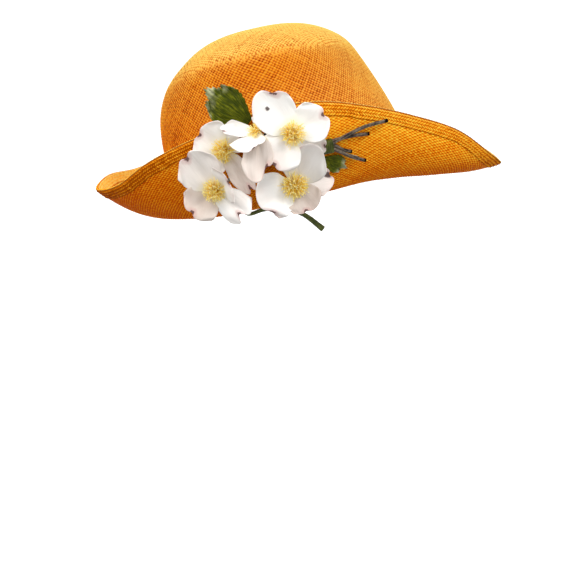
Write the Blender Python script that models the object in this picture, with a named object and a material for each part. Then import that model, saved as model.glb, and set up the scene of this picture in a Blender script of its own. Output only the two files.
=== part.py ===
"""A wide-brim straw hat with silk dogwood flowers on its upswept side. Metres, +Z up, front +X."""

import math
from collections import namedtuple

import bmesh
import bpy
from mathutils import Euler, Matrix, Vector

# Driving sizes of the crown. The shallow dent keeps to its sides, above DENT_FROM of the wall.
HEAD_FRONT = 0.113
HEAD_BACK = 0.105
HEAD_HALF_WIDTH = 0.084
CROWN_HEIGHT = 0.133
TIP_FRONT = 0.0755
TIP_BACK = 0.093
TIP_HALF_WIDTH = 0.063
TIP_SQUARENESS = 2.3
TIP_FULLNESS = 2.8
SIDE_DENT = 0.004
DENT_FROM = 0.45
DENT_TIGHTNESS = 3
STRAW = 0.002
CROWN_LEVELS = (0, 0.14, 0.3, 0.46, 0.62, 0.78, 0.9, 1, 1.14, 1.34, 1.58, 1.8)

# Driving sizes of the brim and its edge
BRIM_REACH = 0.075
BRIM_HEIGHT = 0.080
ROLL_DEPTH = 0.020
BRAID_WIDTH = 0.0095
BRAID_THICKNESS = 0.0012

# Driving sizes of the flowers. A bract's waist, notch and rounding are shares of its width and length.
# Its claw, up to CLAW_SHARE of its length, keeps within CLAW_FILL of the room to its neighbours, which
# counts as WIDEST_ROOM degrees at most.
PETAL_LENGTH = 0.0335
PETAL_HALF_WIDTH = 0.0155
PETAL_THICKNESS = 0.001
PETAL_WAIST = 0.12
NOTCH_DEPTH = 0.1
NOTCH_HALF_WIDTH = 0.2
END_ROUNDING = 0.38
CLAW_SHARE = 0.4
CLAW_FILL = 0.8
WIDEST_ROOM = 60
DISC_RADIUS = 0.0045
NECK_SHARE = 0.45
STAMEN_RADIUS = 0.0085
STAMEN_HEIGHT = 0.006
STAMEN_SPIKES = 10

# Driving sizes of the leaves and stems. Tooth, fold, arch and rounding are shares of a leaf's length.
LEAF_THICKNESS = 0.001
LARGE_LEAF_LENGTH = 0.04
SMALL_LEAF_LENGTH = 0.0195
LEAF_TOOTH = 0.1
LEAF_FOLD = 0.05
LEAF_ARCH = 0.05
LEAF_ROUNDING = 0.3
TWIG_DIAMETER = 0.0026
GREEN_STEM_DIAMETER = 0.004
TIE_WALL = 0.001
TIE_LENGTH = 0.008
TIE_CORNER = 0.6
GREEN_STEM_DROP = 0.016
GREEN_STEM_NECK = 0.7
GREEN_STEM_SPLAY = 1.3
GREEN_STEM_DEPTH = 0.013

CLEARANCE = 0.0003
BUNDLE_PITCH = TWIG_DIAMETER + 2 * CLEARANCE
WORN_TILT = 12.0
STEPS_ROUND = 56

# Round the hat, angle 0 is the front, -90 the wearer's right and 180 the back.
# rise is a share of CROWN_HEIGHT, and power says how long the wall stays upright.
Shoulder = namedtuple("Shoulder", "angle rise power")
SHOULDER = [Shoulder(*row) for row in (
    (-150, 0.790, 4.0),
    (-120, 0.870, 2.4),
    (-90, 0.886, 2.0),
    (-60, 0.868, 1.8),
    (-30, 0.820, 1.5),
    (0, 0.805, 1.4),
    (30, 0.820, 1.5),
    (60, 0.868, 1.8),
    (90, 0.886, 2.0),
    (120, 0.870, 2.4),
    (150, 0.790, 4.0),
    (180, 0.684, 5.0),
)]

# The brim leaves the headline, drops into a roll and flares up to its edge. Outward lengths are shares
# of BRIM_REACH, edge_rise and flare_rise are shares of BRIM_HEIGHT, and roll_drop of ROLL_DEPTH.
BrimRow = namedtuple("BrimRow", "angle reach edge_rise roll_out roll_drop flare_out flare_rise")
BRIM = [BrimRow(*row) for row in (
    (-165, 0.84, 0.365, 0.22, 0.76, 0.58, 0.06),
    (-150, 0.77, 0.445, 0.20, 0.76, 0.55, 0.09),
    (-135, 0.67, 0.650, 0.20, 0.82, 0.51, 0.14),
    (-120, 0.60, 0.790, 0.20, 0.82, 0.51, 0.18),
    (-105, 0.58, 0.885, 0.24, 0.62, 0.53, 0.25),
    (-90, 0.585, 0.975, 0.28, 0.38, 0.53, 0.31),
    (-75, 0.58, 0.940, 0.28, 0.30, 0.53, 0.30),
    (-60, 0.61, 0.790, 0.26, 0.30, 0.56, 0.23),
    (-45, 0.69, 0.570, 0.22, 0.62, 0.64, 0.01),
    (-30, 0.82, 0.285, 0.25, 0.80, 0.72, -0.25),
    (-15, 0.94, -0.130, 0.30, 0.75, 0.70, -0.38),
    (0, 0.98, -0.320, 0.33, 0.70, 0.66, -0.35),
    (30, 0.97, -0.100, 0.36, 0.60, 0.73, -0.26),
    (60, 0.95, 0.150, 0.37, 0.50, 0.76, -0.08),
    (90, 0.93, 0.225, 0.37, 0.50, 0.76, -0.04),
    (120, 0.92, 0.275, 0.37, 0.55, 0.76, -0.04),
    (150, 0.90, 0.275, 0.34, 0.75, 0.70, -0.05),
    (165, 0.88, 0.345, 0.28, 0.85, 0.66, -0.04),
    (180, 0.855, 0.345, 0.24, 0.80, 0.61, 0.02),
)]
BRIM_ROWS = (0.0, 0.13, 0.27, 0.42, 0.58, 0.76, 1.0)

# Each flower sits off the brim's outer face at an angle round the hat and a share of the way up to the
# edge. stand_off is a share of PETAL_LENGTH. turn faces it to the front and tilt faces it up, in degrees,
# and tuft is its stamens' share of STAMEN_RADIUS.
Flower = namedtuple("Flower", "name angle share stand_off turn tilt tuft")
FLOWERS = [Flower(*row) for row in (
    ("1", -84.6, 0.90, 0.74, 4.0, 10.0, 1.0),
    ("2", -105.5, 0.91, 0.36, -14.0, 6.0, 1.0),
    ("3", -110.4, 0.75, 0.74, -10.0, 4.0, 1.0),
    ("4", -94.0, 0.95, 0.60, -26.0, 38.0, 0.6),
    ("5", -87.1, 0.60, 0.60, 6.0, 0.0, 1.15),
)]

# Four bracts a flower. direction is in the flower's own face, 0 to the front and 90 up. length and width
# are shares of PETAL_LENGTH and PETAL_HALF_WIDTH, and lift, curl, cup and roll are in degrees.
Petal = namedtuple("Petal", "flower direction length width lift curl cup roll")
PETALS = [Petal(*row) for row in (
    ("1", 122, 1.12, 1.00, 10, 10, 14, 0),
    ("1", 14, 0.78, 1.00, 12, 8, 14, 0),
    ("1", -54, 0.62, 0.76, -12, -10, 0, 0),
    ("1", -136, 0.76, 0.98, 9, -8, -8, 0),
    ("2", 134, 0.60, 0.98, 13, 8, 12, 0),
    ("2", 16, 0.42, 0.64, 4, -4, 4, 0),
    ("2", -70, 1.08, 0.60, 2, -8, -10, 0),
    ("2", -150, 0.50, 0.80, -3, -6, 2, 0),
    ("3", 121, 0.98, 0.98, 10, 6, 12, 0),
    ("3", 48, 0.56, 0.56, 38, 20, 20, 20),
    ("3", -52, 0.80, 0.82, 12, 8, -26, 0),
    ("3", -146, 0.70, 1.02, 8, 6, 12, 0),
    ("4", 176, 0.78, 0.45, 22, 2, 12, 0),
    ("4", 70, 0.26, 0.50, 16, 6, 14, 0),
    ("4", -156, 0.52, 0.42, 7, -8, -8, 0),
    ("4", -104, 1.08, 0.80, -6, -6, -18, 0),
    ("5", 47, 0.84, 1.00, 26, 4, 18, 0),
    ("5", -4, 0.86, 0.74, -6, -10, 8, 0),
    ("5", -72, 0.72, 0.92, 4, 4, 12, 0),
    ("5", -162, 0.80, 1.02, 26, -20, 14, 0),
)]
PETAL_ROWS = (0.28, 0.56, 0.82, 1.0)
PETAL_ACROSS = (-1.0, -0.62, -0.3, 0.0, 0.3, 0.62, 1.0)

# The tuft's rings, as shares of STAMEN_RADIUS at its points and between them, and of STAMEN_HEIGHT.
TuftRing = namedtuple("TuftRing", "wide height narrow")
TUFT_RINGS = [TuftRing(*row) for row in ((0.34, 0.0, 0.34), (0.62, 0.5, 0.5), (1.0, 0.86, 0.66))]

# Each flower's stem runs along the brim's outer face into the tie, where its layers are its place in the
# bundle, and on to its cut end. end_off is the end's height off the face as a share of TWIG_DIAMETER.
TIE_ANGLE = -74.0
TIE_SHARE = 0.755
Twig = namedtuple("Twig", "flower layer_up layer_out end_angle end_share end_off")
TWIGS = [Twig(*row) for row in (
    ("1", 1, 1, -54.0, 0.945, 1.9),
    ("2", 0, 0, -66.5, 0.705, 1.9),
    ("3", -1, 0, -64.0, 0.640, 1.0),
    ("4", 1, 0, -60.0, 0.835, 1.2),
    ("5", -1, 1, -62.0, 0.635, 2.3),
)]
TWIG_STEPS = 2

# Leaves stand off the brim's outer face from their stalk. direction is on that face, 0 to the front and
# 90 up, lift leans the leaf outward, and width is the half width as a share of the leaf's length.
Leaf = namedtuple("Leaf", "name angle share stand_off direction lift turn length width")
LEAVES = [Leaf(*row) for row in (
    ("leaf_large", -96.4, 0.98, 0.92, 131.0, -3.0, -6.0, LARGE_LEAF_LENGTH, 0.44),
    ("leaf_small", -75.6, 0.66, 0.25, -34.0, 4.0, 0.0, SMALL_LEAF_LENGTH, 0.42),
)]
LEAF_ROWS = (0.0, 0.2, 0.4, 0.6, 0.8, 1.0)
LEAF_ACROSS = (-1.0, -0.5, 0.0, 0.5, 1.0)

# The loose green stem under the flowers. height is a share of TWIG_DIAMETER off the brim's outer face,
# drop a share of GREEN_STEM_DROP below that, and width a share of GREEN_STEM_DIAMETER.
StemPoint = namedtuple("StemPoint", "angle share height drop width")
GREEN_STEM = [StemPoint(*row) for row in (
    (-106.5, 0.40, 2.0, 0.2, 0.8),
    (-99.5, 0.40, 2.4, 0.2, 0.9),
    (-92.8, 0.34, 2.6, 0.2, 1.0),
    (-86.0, 0.26, 3.0, 0.5, 1.0),
    (-80.0, 0.24, 3.6, 1.35, 1.3),
)]
STEM_STEPS = 3


def colour_material(name, colour, roughness):
    material = bpy.data.materials.new(name)
    material.use_nodes = True
    shader = material.node_tree.nodes["Principled BSDF"]
    shader.inputs["Base Color"].default_value = (*colour, 1)
    shader.inputs["Roughness"].default_value = roughness
    return material


def clear_scene():
    for obj in list(bpy.data.objects):
        bpy.data.objects.remove(obj)


def add_object(name, data, material, parent):
    obj = bpy.data.objects.new(name, data)
    obj.data.materials.append(material)
    obj.parent = parent
    bpy.context.scene.collection.objects.link(obj)
    return obj


def hermite(here, there, slope_here, slope_there, span, t):
    blend = t * t * (3 - 2 * t)
    bow = slope_here * (1 - t) - slope_there * t
    return here * (1 - blend) + there * blend + bow * (span * t * (1 - t))


def row_at(table, angle):
    """The table's row at any angle round the hat, on a smooth curve through its own rows."""
    rows = sorted(table)
    last = len(rows)
    angle = (angle + 180) % 360 - 180
    index = sum(row.angle <= angle for row in rows) - 1

    def place(i):
        return rows[i % last].angle + 360 * (i // last)

    def slope(i, column):
        rise = rows[(i + 1) % last][column] - rows[(i - 1) % last][column]
        return rise / (place(i + 1) - place(i - 1))

    span = place(index + 1) - place(index)
    t = (angle - place(index)) / span
    here, there = rows[index % last], rows[(index + 1) % last]
    columns = range(1, len(here))
    values = [
        hermite(here[c], there[c], slope(index, c), slope(index + 1, c), span, t) for c in columns
    ]
    return type(here)(angle, *values)


def oval(angle, front, back, half_width, squareness=2.0):
    """A point of an egg-shaped outline whose two ends differ."""
    c, s = math.cos(math.radians(angle)), math.sin(math.radians(angle))
    power = 2 / squareness
    along = math.copysign(abs(c) ** power, c) * (front if c > 0 else back)
    return Vector((along, math.copysign(abs(s) ** power, s) * half_width, 0))


def headline(angle):
    return oval(angle, HEAD_FRONT, HEAD_BACK, HEAD_HALF_WIDTH)


def outward(angle):
    """The level direction square to the headline."""
    c, s = math.cos(math.radians(angle)), math.sin(math.radians(angle))
    along = c / (HEAD_FRONT if c > 0 else HEAD_BACK)
    return Vector((along, s / HEAD_HALF_WIDTH, 0)).normalized()


def crown_point(angle, level):
    """The crown's outer face: level 0 to 1 is the wall, and 1 to 2 the tip up to its highest point."""
    shoulder = row_at(SHOULDER, angle)
    rim = oval(angle, TIP_FRONT, TIP_BACK, TIP_HALF_WIDTH, TIP_SQUARENESS)
    height = shoulder.rise * CROWN_HEIGHT
    if level > 1:
        inward = level - 1
        lift = 1 - (1 - inward) ** TIP_FULLNESS
        return rim * (1 - inward) + Vector((0, 0, height + (CROWN_HEIGHT - height) * lift))
    point = headline(angle).lerp(rim, level**shoulder.power)
    side = abs(math.sin(math.radians(angle))) ** DENT_TIGHTNESS
    depth = math.sin(math.pi * max(0, (level - DENT_FROM) / (1 - DENT_FROM)))
    return point - outward(angle) * SIDE_DENT * side * depth + Vector((0, 0, height * level))


def brim_curve(angle, share):
    """The middle of the brim's wall: share 0 is at the headline and 1 at the edge."""
    row = row_at(BRIM, angle)
    start = -CLEARANCE - STRAW / 2
    roll = start - row.roll_drop * ROLL_DEPTH
    outs = [part * BRIM_REACH for part in (0, row.roll_out, row.flare_out, row.reach)]
    heights = (start, roll, row.flare_rise * BRIM_HEIGHT, row.edge_rise * BRIM_HEIGHT)
    back = 1 - share
    weights = (back**3, 3 * share * back**2, 3 * share**2 * back, share**3)
    out = sum(w * o for w, o in zip(weights, outs))
    height = sum(w * h for w, h in zip(weights, heights))
    return headline(angle) + outward(angle) * out + Vector((0, 0, height))


def braid_share(angle):
    """The share at which the edge braid begins, its width in from the edge along the brim."""
    share, length, step = 1.0, 0.0, 0.01
    point = brim_curve(angle, 1.0)
    while length < BRAID_WIDTH:
        share -= step
        further = brim_curve(angle, share)
        length += (further - point).length
        point = further
    return share


def brim_frame(angle, share):
    """A point of the brim's middle and the directions to the front, up to the edge and outward there."""
    turn, step = 1.0, 0.01
    along = brim_curve(angle + turn, share) - brim_curve(angle - turn, share)
    up = brim_curve(angle, min(1, share + step)) - brim_curve(angle, share - step)
    out = along.cross(up).normalized()
    up.normalize()
    return brim_curve(angle, share), up.cross(out), up, out


def off_brim(angle, share, height):
    """A point that stands this height off the brim's outer face."""
    point, _, _, out = brim_frame(angle, share)
    return point + out * (STRAW / 2 + height)


def round_angles():
    return [360 * i / STEPS_ROUND for i in range(STEPS_ROUND)]


def grid_normals(rings):
    """The direction out of a grid of closed rings at each of its points."""
    normals = []
    for r, ring in enumerate(rings):
        below, above = rings[max(0, r - 1)], rings[min(len(rings) - 1, r + 1)]
        count = len(ring)
        normals.append([
            (ring[(i + 1) % count] - ring[i - 1]).cross(above[i] - below[i]).normalized()
            for i in range(count)
        ])
    return normals


def shifted(rings, normals, distance):
    return [[p + n * distance for p, n in zip(*pair)] for pair in zip(rings, normals)]


def skin_faces(bm, rows, lean=False):
    """Two triangles between each four points. lean picks the other diagonal, for rows in reverse order."""
    for low, high in zip(rows, rows[1:]):
        for i in range(len(low)):
            j = (i + 1) % len(low)
            split = (low[i], high[j]) if not lean else (low[j], high[i])
            bm.faces.new((low[i], low[j], split[1]))
            bm.faces.new((split[0], high[j], high[i]))


def mesh_of(bm, name):
    mesh = bpy.data.meshes.new(name)
    bm.to_mesh(mesh)
    bm.free()
    mesh.shade_smooth()
    mesh.set_sharp_from_angle(angle=math.radians(50))
    return mesh


def crown_mesh():
    outer = [[crown_point(angle, level) for angle in round_angles()] for level in CROWN_LEVELS]
    inner = shifted(outer, grid_normals(outer), -STRAW)
    for point in inner[0]:
        point.z = 0
    bm = bmesh.new()
    outer_rows = [[bm.verts.new(p) for p in ring] for ring in outer]
    inner_rows = [[bm.verts.new(p) for p in ring] for ring in inner]
    skin_faces(bm, outer_rows)
    skin_faces(bm, [list(reversed(ring)) for ring in inner_rows])
    skin_faces(bm, [inner_rows[0], outer_rows[0]])
    tips = (bm.verts.new((0, 0, CROWN_HEIGHT)), bm.verts.new((0, 0, CROWN_HEIGHT - STRAW)))
    for tip, row in zip(tips, (outer_rows[-1], list(reversed(inner_rows[-1])))):
        for i in range(len(row)):
            bm.faces.new((row[i], row[(i + 1) % len(row)], tip))
    return mesh_of(bm, "crown")


def brim_rings():
    """The brim's middle grid: a level collar under the crown's wall, then rows out to the edge."""
    collar = [headline(a) - outward(a) * STRAW for a in round_angles()]
    for point in collar:
        point.z = -CLEARANCE - STRAW / 2
    rings = [collar]
    starts = [braid_share(angle) for angle in round_angles()]
    for row in BRIM_ROWS:
        rings.append([brim_curve(a, row * s) for a, s in zip(round_angles(), starts)])
    for row in (0.5, 1.0):
        shares = [s + (1 - s) * row for s in starts]
        rings.append([brim_curve(a, s) for a, s in zip(round_angles(), shares)])
    return rings


def brim_mesh(rings, normals):
    bm = bmesh.new()
    under = [[bm.verts.new(p) for p in ring] for ring in shifted(rings, normals, STRAW / 2)]
    upper = [[bm.verts.new(p) for p in ring] for ring in shifted(rings, normals, -STRAW / 2)]
    skin_faces(bm, under)
    skin_faces(bm, list(reversed(upper)), lean=True)
    skin_faces(bm, [upper[0], under[0]])
    skin_faces(bm, [under[-1], upper[-1]])
    return mesh_of(bm, "brim")


def edge_braid_mesh(rings, normals):
    """A band folded over the edge, on the same grid as the brim, so that it keeps its clearance."""
    near = STRAW / 2 + CLEARANCE
    far = near + BRAID_THICKNESS
    rings, normals = rings[-3:], normals[-3:]
    beyond = [(p - q).normalized() for p, q in zip(rings[-1], rings[-2])]

    def lip(offset, reach):
        return [p + n * offset + b * reach for p, n, b in zip(rings[-1], normals[-1], beyond)]

    outside = shifted(rings, normals, far)
    outside += [lip(near, CLEARANCE + BRAID_THICKNESS), lip(-near, CLEARANCE + BRAID_THICKNESS)]
    outside += reversed(shifted(rings, normals, -far))
    inside = shifted(rings, normals, -near)
    inside += [lip(-STRAW / 2, CLEARANCE), lip(STRAW / 2, CLEARANCE)]
    inside += reversed(shifted(rings, normals, near))
    bm = bmesh.new()
    rows = [[bm.verts.new(p) for p in ring] for ring in outside + inside]
    turn = len(rings) + 1
    back = len(outside) + turn
    skin_faces(bm, rows[: turn + 1])
    skin_faces(bm, rows[turn : len(outside)], lean=True)
    skin_faces(bm, rows[len(outside) - 1 : back + 1])
    skin_faces(bm, [*rows[back:], rows[0]], lean=True)
    return mesh_of(bm, "edge_braid")


def petal_point(petal, along, across, room):
    """A point of one bract in its flower's face axes: to the front, up and out of the face. room is the
    angle in degrees from the bract's middle to half way to the neighbour on this side."""
    reach = PETAL_LENGTH * petal.length
    notch = NOTCH_DEPTH * math.exp(-((across / NOTCH_HALF_WIDTH) ** 2))
    end = 1 - END_ROUNDING * abs(across) ** 2.2 - notch
    swell = math.sin(math.pi * (0.1 + 0.5 * along))
    spread = PETAL_WAIST + (1 - PETAL_WAIST) * swell
    x, z = DISC_RADIUS, 0.0
    steps = 8
    for step in range(steps):
        bend = math.radians(petal.lift + petal.curl * (step + 0.5) / steps * along)
        x += reach * end * along / steps * math.cos(bend)
        z += reach * end * along / steps * math.sin(bend)
    half = PETAL_HALF_WIDTH * petal.width * spread
    if along < CLAW_SHARE:
        half = min(half, x * math.tan(math.radians(min(room, WIDEST_ROOM))) * CLAW_FILL)
    y = half * across
    z += half * across**2 * math.sin(math.radians(petal.cup)) * along
    z += y * math.sin(math.radians(petal.roll)) * along
    y *= math.cos(math.radians(petal.roll) * along)
    return Matrix.Rotation(math.radians(petal.direction), 3, "Z") @ Vector((x, y, z))


def flower_named(name):
    return next(flower for flower in FLOWERS if flower.name == name)


def flower_place(flower):
    """The matrix from a flower's face axes, with the face's middle at the origin, to the hat's."""
    middle = off_brim(flower.angle, flower.share, flower.stand_off * PETAL_LENGTH)
    face = Matrix(((1, 0, 0), (0, 0, -1), (0, 1, 0))).to_4x4()
    turned = (math.radians(-flower.tilt), 0, math.radians(flower.turn))
    return Matrix.Translation(middle) @ Euler(turned).to_matrix().to_4x4() @ face


def petal_rooms(flower):
    """Each of the flower's bracts with the angles from its middle half way to the next one on either side."""
    petals = sorted(petal for petal in PETALS if petal.flower == flower.name)
    rooms = []
    for before, petal, after in zip([petals[-1], *petals], petals, [*petals[1:], petals[0]]):
        below = (petal.direction - before.direction) % 360 / 2
        above = (after.direction - petal.direction) % 360 / 2
        rooms.append((petal, below, above))
    return rooms


def corolla_mesh(flower):
    """Four notched bracts on one small disc, as one sheet that a Solidify gives its thickness."""
    rooms = petal_rooms(flower)
    place = flower_place(flower)
    bm = bmesh.new()
    middle = bm.verts.new(place @ Vector((0, 0, 0)))
    count = len(PETAL_ACROSS) - 1
    edges = []
    for petal, below, above in rooms:
        for i in range(count):
            angle = math.radians(petal.direction - below + (below + above) * i / count)
            ring = Vector((math.cos(angle), math.sin(angle), 0)) * DISC_RADIUS
            edges.append(bm.verts.new(place @ ring))
    for i in range(len(edges)):
        bm.faces.new((middle, edges[i], edges[(i + 1) % len(edges)]))
    for index, (petal, below, above) in enumerate(rooms):
        row = [edges[(index * count + i) % len(edges)] for i in range(count + 1)]
        for along in PETAL_ROWS:
            points = [petal_point(petal, along, a, below if a < 0 else above) for a in PETAL_ACROSS]
            further = [bm.verts.new(place @ point) for point in points]
            for i in range(count):
                bm.faces.new((row[i], further[i], further[i + 1], row[i + 1]))
            row = further
    return mesh_of(bm, "corolla")


def thicken(obj, thickness):
    wall = obj.modifiers.new("wall", "SOLIDIFY")
    wall.thickness = thickness
    wall.offset = 0
    wall.use_even_offset = False


def stamens_mesh(flower):
    """A tuft whose rim is a ring of points, on the middle of the corolla."""
    place = flower_place(flower) @ Matrix.Translation((0, 0, PETAL_THICKNESS / 2 + CLEARANCE))
    count = 2 * STAMEN_SPIKES
    bm = bmesh.new()
    rows = []
    for ring in TUFT_RINGS:
        row = []
        for i in range(count):
            radius = STAMEN_RADIUS * flower.tuft * (ring.narrow if i % 2 else ring.wide)
            turn = 2 * math.pi * i / count
            point = (radius * math.cos(turn), radius * math.sin(turn), STAMEN_HEIGHT * ring.height)
            row.append(bm.verts.new(place @ Vector(point)))
        rows.append(row)
    skin_faces(bm, rows)
    crest = bm.verts.new(place @ Vector((0, 0, STAMEN_HEIGHT)))
    for i in range(count):
        bm.faces.new((rows[-1][i], rows[-1][(i + 1) % count], crest))
    bm.faces.new(list(reversed(rows[0])))
    return mesh_of(bm, "stamens")


def smooth_route(points, steps):
    """More points on a smooth curve through the given ones."""
    last = len(points) - 1
    lengths = [(q - p).length for p, q in zip(points, points[1:])]

    def slope(i):
        low, high = max(0, i - 1), min(last, i + 1)
        return (points[high] - points[low]) / sum(lengths[low:high])

    route = []
    for i in range(last):
        for k in range(steps):
            args = (points[i], points[i + 1], slope(i), slope(i + 1), lengths[i], k / steps)
            route.append(hermite(*args))
    return [*route, points[last]]


def tube(name, points, diameter, material, parent, widths=None):
    curve = bpy.data.curves.new(name, "CURVE")
    curve.dimensions = "3D"
    curve.bevel_depth = diameter / 2
    curve.bevel_resolution = 1
    curve.use_fill_caps = True
    spline = curve.splines.new("POLY")
    spline.points.add(len(points) - 1)
    for i, point in enumerate(points):
        spline.points[i].co = (*point, 1)
        spline.points[i].radius = widths[i] if widths else 1
    return add_object(name, curve, material, parent)


def tie_place(layer_up, layer_out):
    """Where one stem passes the tie, in a bundle of three stems by two."""
    seat = CLEARANCE + TIE_WALL + CLEARANCE + TWIG_DIAMETER / 2
    point, _, up, out = brim_frame(TIE_ANGLE, TIE_SHARE)
    return point + up * layer_up * BUNDLE_PITCH + out * (STRAW / 2 + seat + layer_out * BUNDLE_PITCH)


def twig_route(twig):
    """From the back of its flower, along the brim, through the tie to the cut end."""
    flower = flower_named(twig.flower)
    place = flower_place(flower)
    back = PETAL_THICKNESS / 2 + CLEARANCE
    neck = flower.stand_off * PETAL_LENGTH * NECK_SHARE
    seat = TWIG_DIAMETER / 2 + 2 * CLEARANCE + TIE_WALL + twig.layer_out * BUNDLE_PITCH
    points = [place @ Vector((0, 0, -back)), place @ Vector((0, 0, -back - neck))]

    def on_brim(angle, share, height, spread):
        _, _, up, _ = brim_frame(angle, share)
        points.append(off_brim(angle, share, height) + up * twig.layer_up * BUNDLE_PITCH * spread)

    for run in (0.25, 0.55):
        angle = flower.angle + (TIE_ANGLE - flower.angle) * run
        on_brim(angle, flower.share + (TIE_SHARE - flower.share) * run, seat, run)
    passing = tie_place(twig.layer_up, twig.layer_out)
    _, front, _, _ = brim_frame(TIE_ANGLE, TIE_SHARE)
    points += [passing + front * TIE_LENGTH * along for along in (-0.55, 0, 0.55)]
    for run in (0.6, 1.0):
        angle = TIE_ANGLE + (twig.end_angle - TIE_ANGLE) * run
        height = seat + (twig.end_off * TWIG_DIAMETER - seat) * run
        on_brim(angle, TIE_SHARE + (twig.end_share - TIE_SHARE) * run, height, 1 - run)
    return smooth_route(points, TWIG_STEPS)


def stem_tie_mesh():
    """A flat sleeve with cut corners round the bundle."""
    middle = tie_place(0, 0.5)
    _, front, up, out = brim_frame(TIE_ANGLE, TIE_SHARE)
    half_up = BUNDLE_PITCH + TWIG_DIAMETER / 2 + CLEARANCE
    half_out = BUNDLE_PITCH / 2 + TWIG_DIAMETER / 2 + CLEARANCE
    bm = bmesh.new()
    rows = []
    for wall, end in ((0, -0.5), (0, 0.5), (TIE_WALL, 0.5), (TIE_WALL, -0.5)):
        high, wide = half_up + wall, half_out + wall
        cut = TIE_CORNER * wall
        corners = ((high, wide - cut), (high - cut, wide), (cut - high, wide), (-high, wide - cut))
        ring = [(u, o) for u, o in corners] + [(-u, -o) for u, o in corners]
        row = [middle + up * u + out * o + front * TIE_LENGTH * end for u, o in ring]
        rows.append([bm.verts.new(point) for point in row])
    skin_faces(bm, [*rows, rows[0]])
    bmesh.ops.recalc_face_normals(bm, faces=bm.faces)
    return mesh_of(bm, "stem_tie")


def leaf_mesh(leaf):
    """A fan-shaped leaf with a toothed edge and a fold along its middle, as a sheet for a Solidify."""
    _, front, up, out = brim_frame(leaf.angle, leaf.share)
    base = off_brim(leaf.angle, leaf.share, leaf.stand_off * TWIG_DIAMETER)
    axes = Matrix((front, up, out)).transposed()
    for axis, degrees in (("Z", leaf.direction), ("Y", -leaf.lift), ("X", leaf.turn)):
        axes = axes @ Matrix.Rotation(math.radians(degrees), 3, axis)
    bm = bmesh.new()
    rows = []
    for index, along in enumerate(LEAF_ROWS):
        spread = math.sin(math.pi * (0.06 + 0.64 * along))
        half = leaf.width * spread * (1 - LEAF_TOOTH * (index % 2))
        row = []
        for across in LEAF_ACROSS:
            end = along * (1 - LEAF_ROUNDING * across**2 * along)
            height = LEAF_FOLD * abs(across) * spread + LEAF_ARCH * math.sin(math.pi * along)
            row.append(bm.verts.new(base + axes @ Vector((end, half * across, height)) * leaf.length))
        rows.append(row)
    for low, high in zip(rows, rows[1:]):
        for i in range(len(low) - 1):
            bm.faces.new((low[i], high[i], high[i + 1], low[i + 1]))
    return mesh_of(bm, "leaf")


def green_stem_route():
    """From beside flower 3's stem, under the flowers, to the free end, with its widths."""
    place = flower_place(flower_named("3"))
    beside = -(TWIG_DIAMETER + GREEN_STEM_DIAMETER) / 2 - CLEARANCE
    back = -PETAL_THICKNESS / 2 - CLEARANCE
    points = [
        place @ Vector((0, beside, back)),
        place @ Vector((0, beside * GREEN_STEM_SPLAY, back - GREEN_STEM_DEPTH)),
    ]
    widths = [GREEN_STEM_NECK, GREEN_STEM_NECK]
    for row in GREEN_STEM:
        down = Vector((0, 0, -row.drop * GREEN_STEM_DROP))
        points.append(off_brim(row.angle, row.share, row.height * TWIG_DIAMETER) + down)
        widths.append(row.width)
    pairs = list(zip(widths, widths[1:]))
    fine = [a + (b - a) * k / STEM_STEPS for a, b in pairs for k in range(STEM_STEPS)]
    return smooth_route(points, STEM_STEPS), [*fine, widths[-1]]


def main():
    clear_scene()
    worn = bpy.data.objects.new("worn_tilt", None)
    worn.rotation_euler = (0, -math.radians(WORN_TILT), 0)
    bpy.context.scene.collection.objects.link(worn)
    straw = colour_material("orange_straw", (0.78, 0.28, 0.03), 0.6)
    braid = colour_material("edge_braid_straw", (0.7, 0.24, 0.025), 0.6)
    silk = colour_material("white_silk", (0.93, 0.91, 0.86), 0.7)
    pollen = colour_material("stamen_yellow", (0.8, 0.55, 0.15), 0.7)
    bark = colour_material("twig_grey", (0.15, 0.11, 0.09), 0.7)
    leaf_green = colour_material("leaf_green", (0.07, 0.1, 0.015), 0.6)
    tape = colour_material("stem_green", (0.09, 0.11, 0.03), 0.7)
    add_object("crown", crown_mesh(), straw, worn)
    rings = brim_rings()
    normals = grid_normals(rings)
    add_object("brim", brim_mesh(rings, normals), straw, worn)
    add_object("edge_braid", edge_braid_mesh(rings, normals), braid, worn)
    for flower in FLOWERS:
        corolla = add_object(f"flower_{flower.name}", corolla_mesh(flower), silk, worn)
        thicken(corolla, PETAL_THICKNESS)
        add_object(f"stamens_{flower.name}", stamens_mesh(flower), pollen, worn)
    for twig in TWIGS:
        tube(f"twig_{twig.flower}", twig_route(twig), TWIG_DIAMETER, bark, worn)
    add_object("stem_tie", stem_tie_mesh(), tape, worn)
    for leaf in LEAVES:
        thicken(add_object(leaf.name, leaf_mesh(leaf), leaf_green, worn), LEAF_THICKNESS)
    route, widths = green_stem_route()
    tube("green_stem", route, GREEN_STEM_DIAMETER, tape, worn, widths)


main()
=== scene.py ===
"""The wide-brim straw hat with silk dogwood flowers, woven and dressed. Metres, +Z up, front +X."""

from collections import namedtuple
from math import ceil, copysign, cos, exp, hypot, pi, radians, sin, sqrt

import bpy
import numpy as np
from mathutils import Euler, Matrix, Vector
from mathutils.bvhtree import BVHTree


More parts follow.
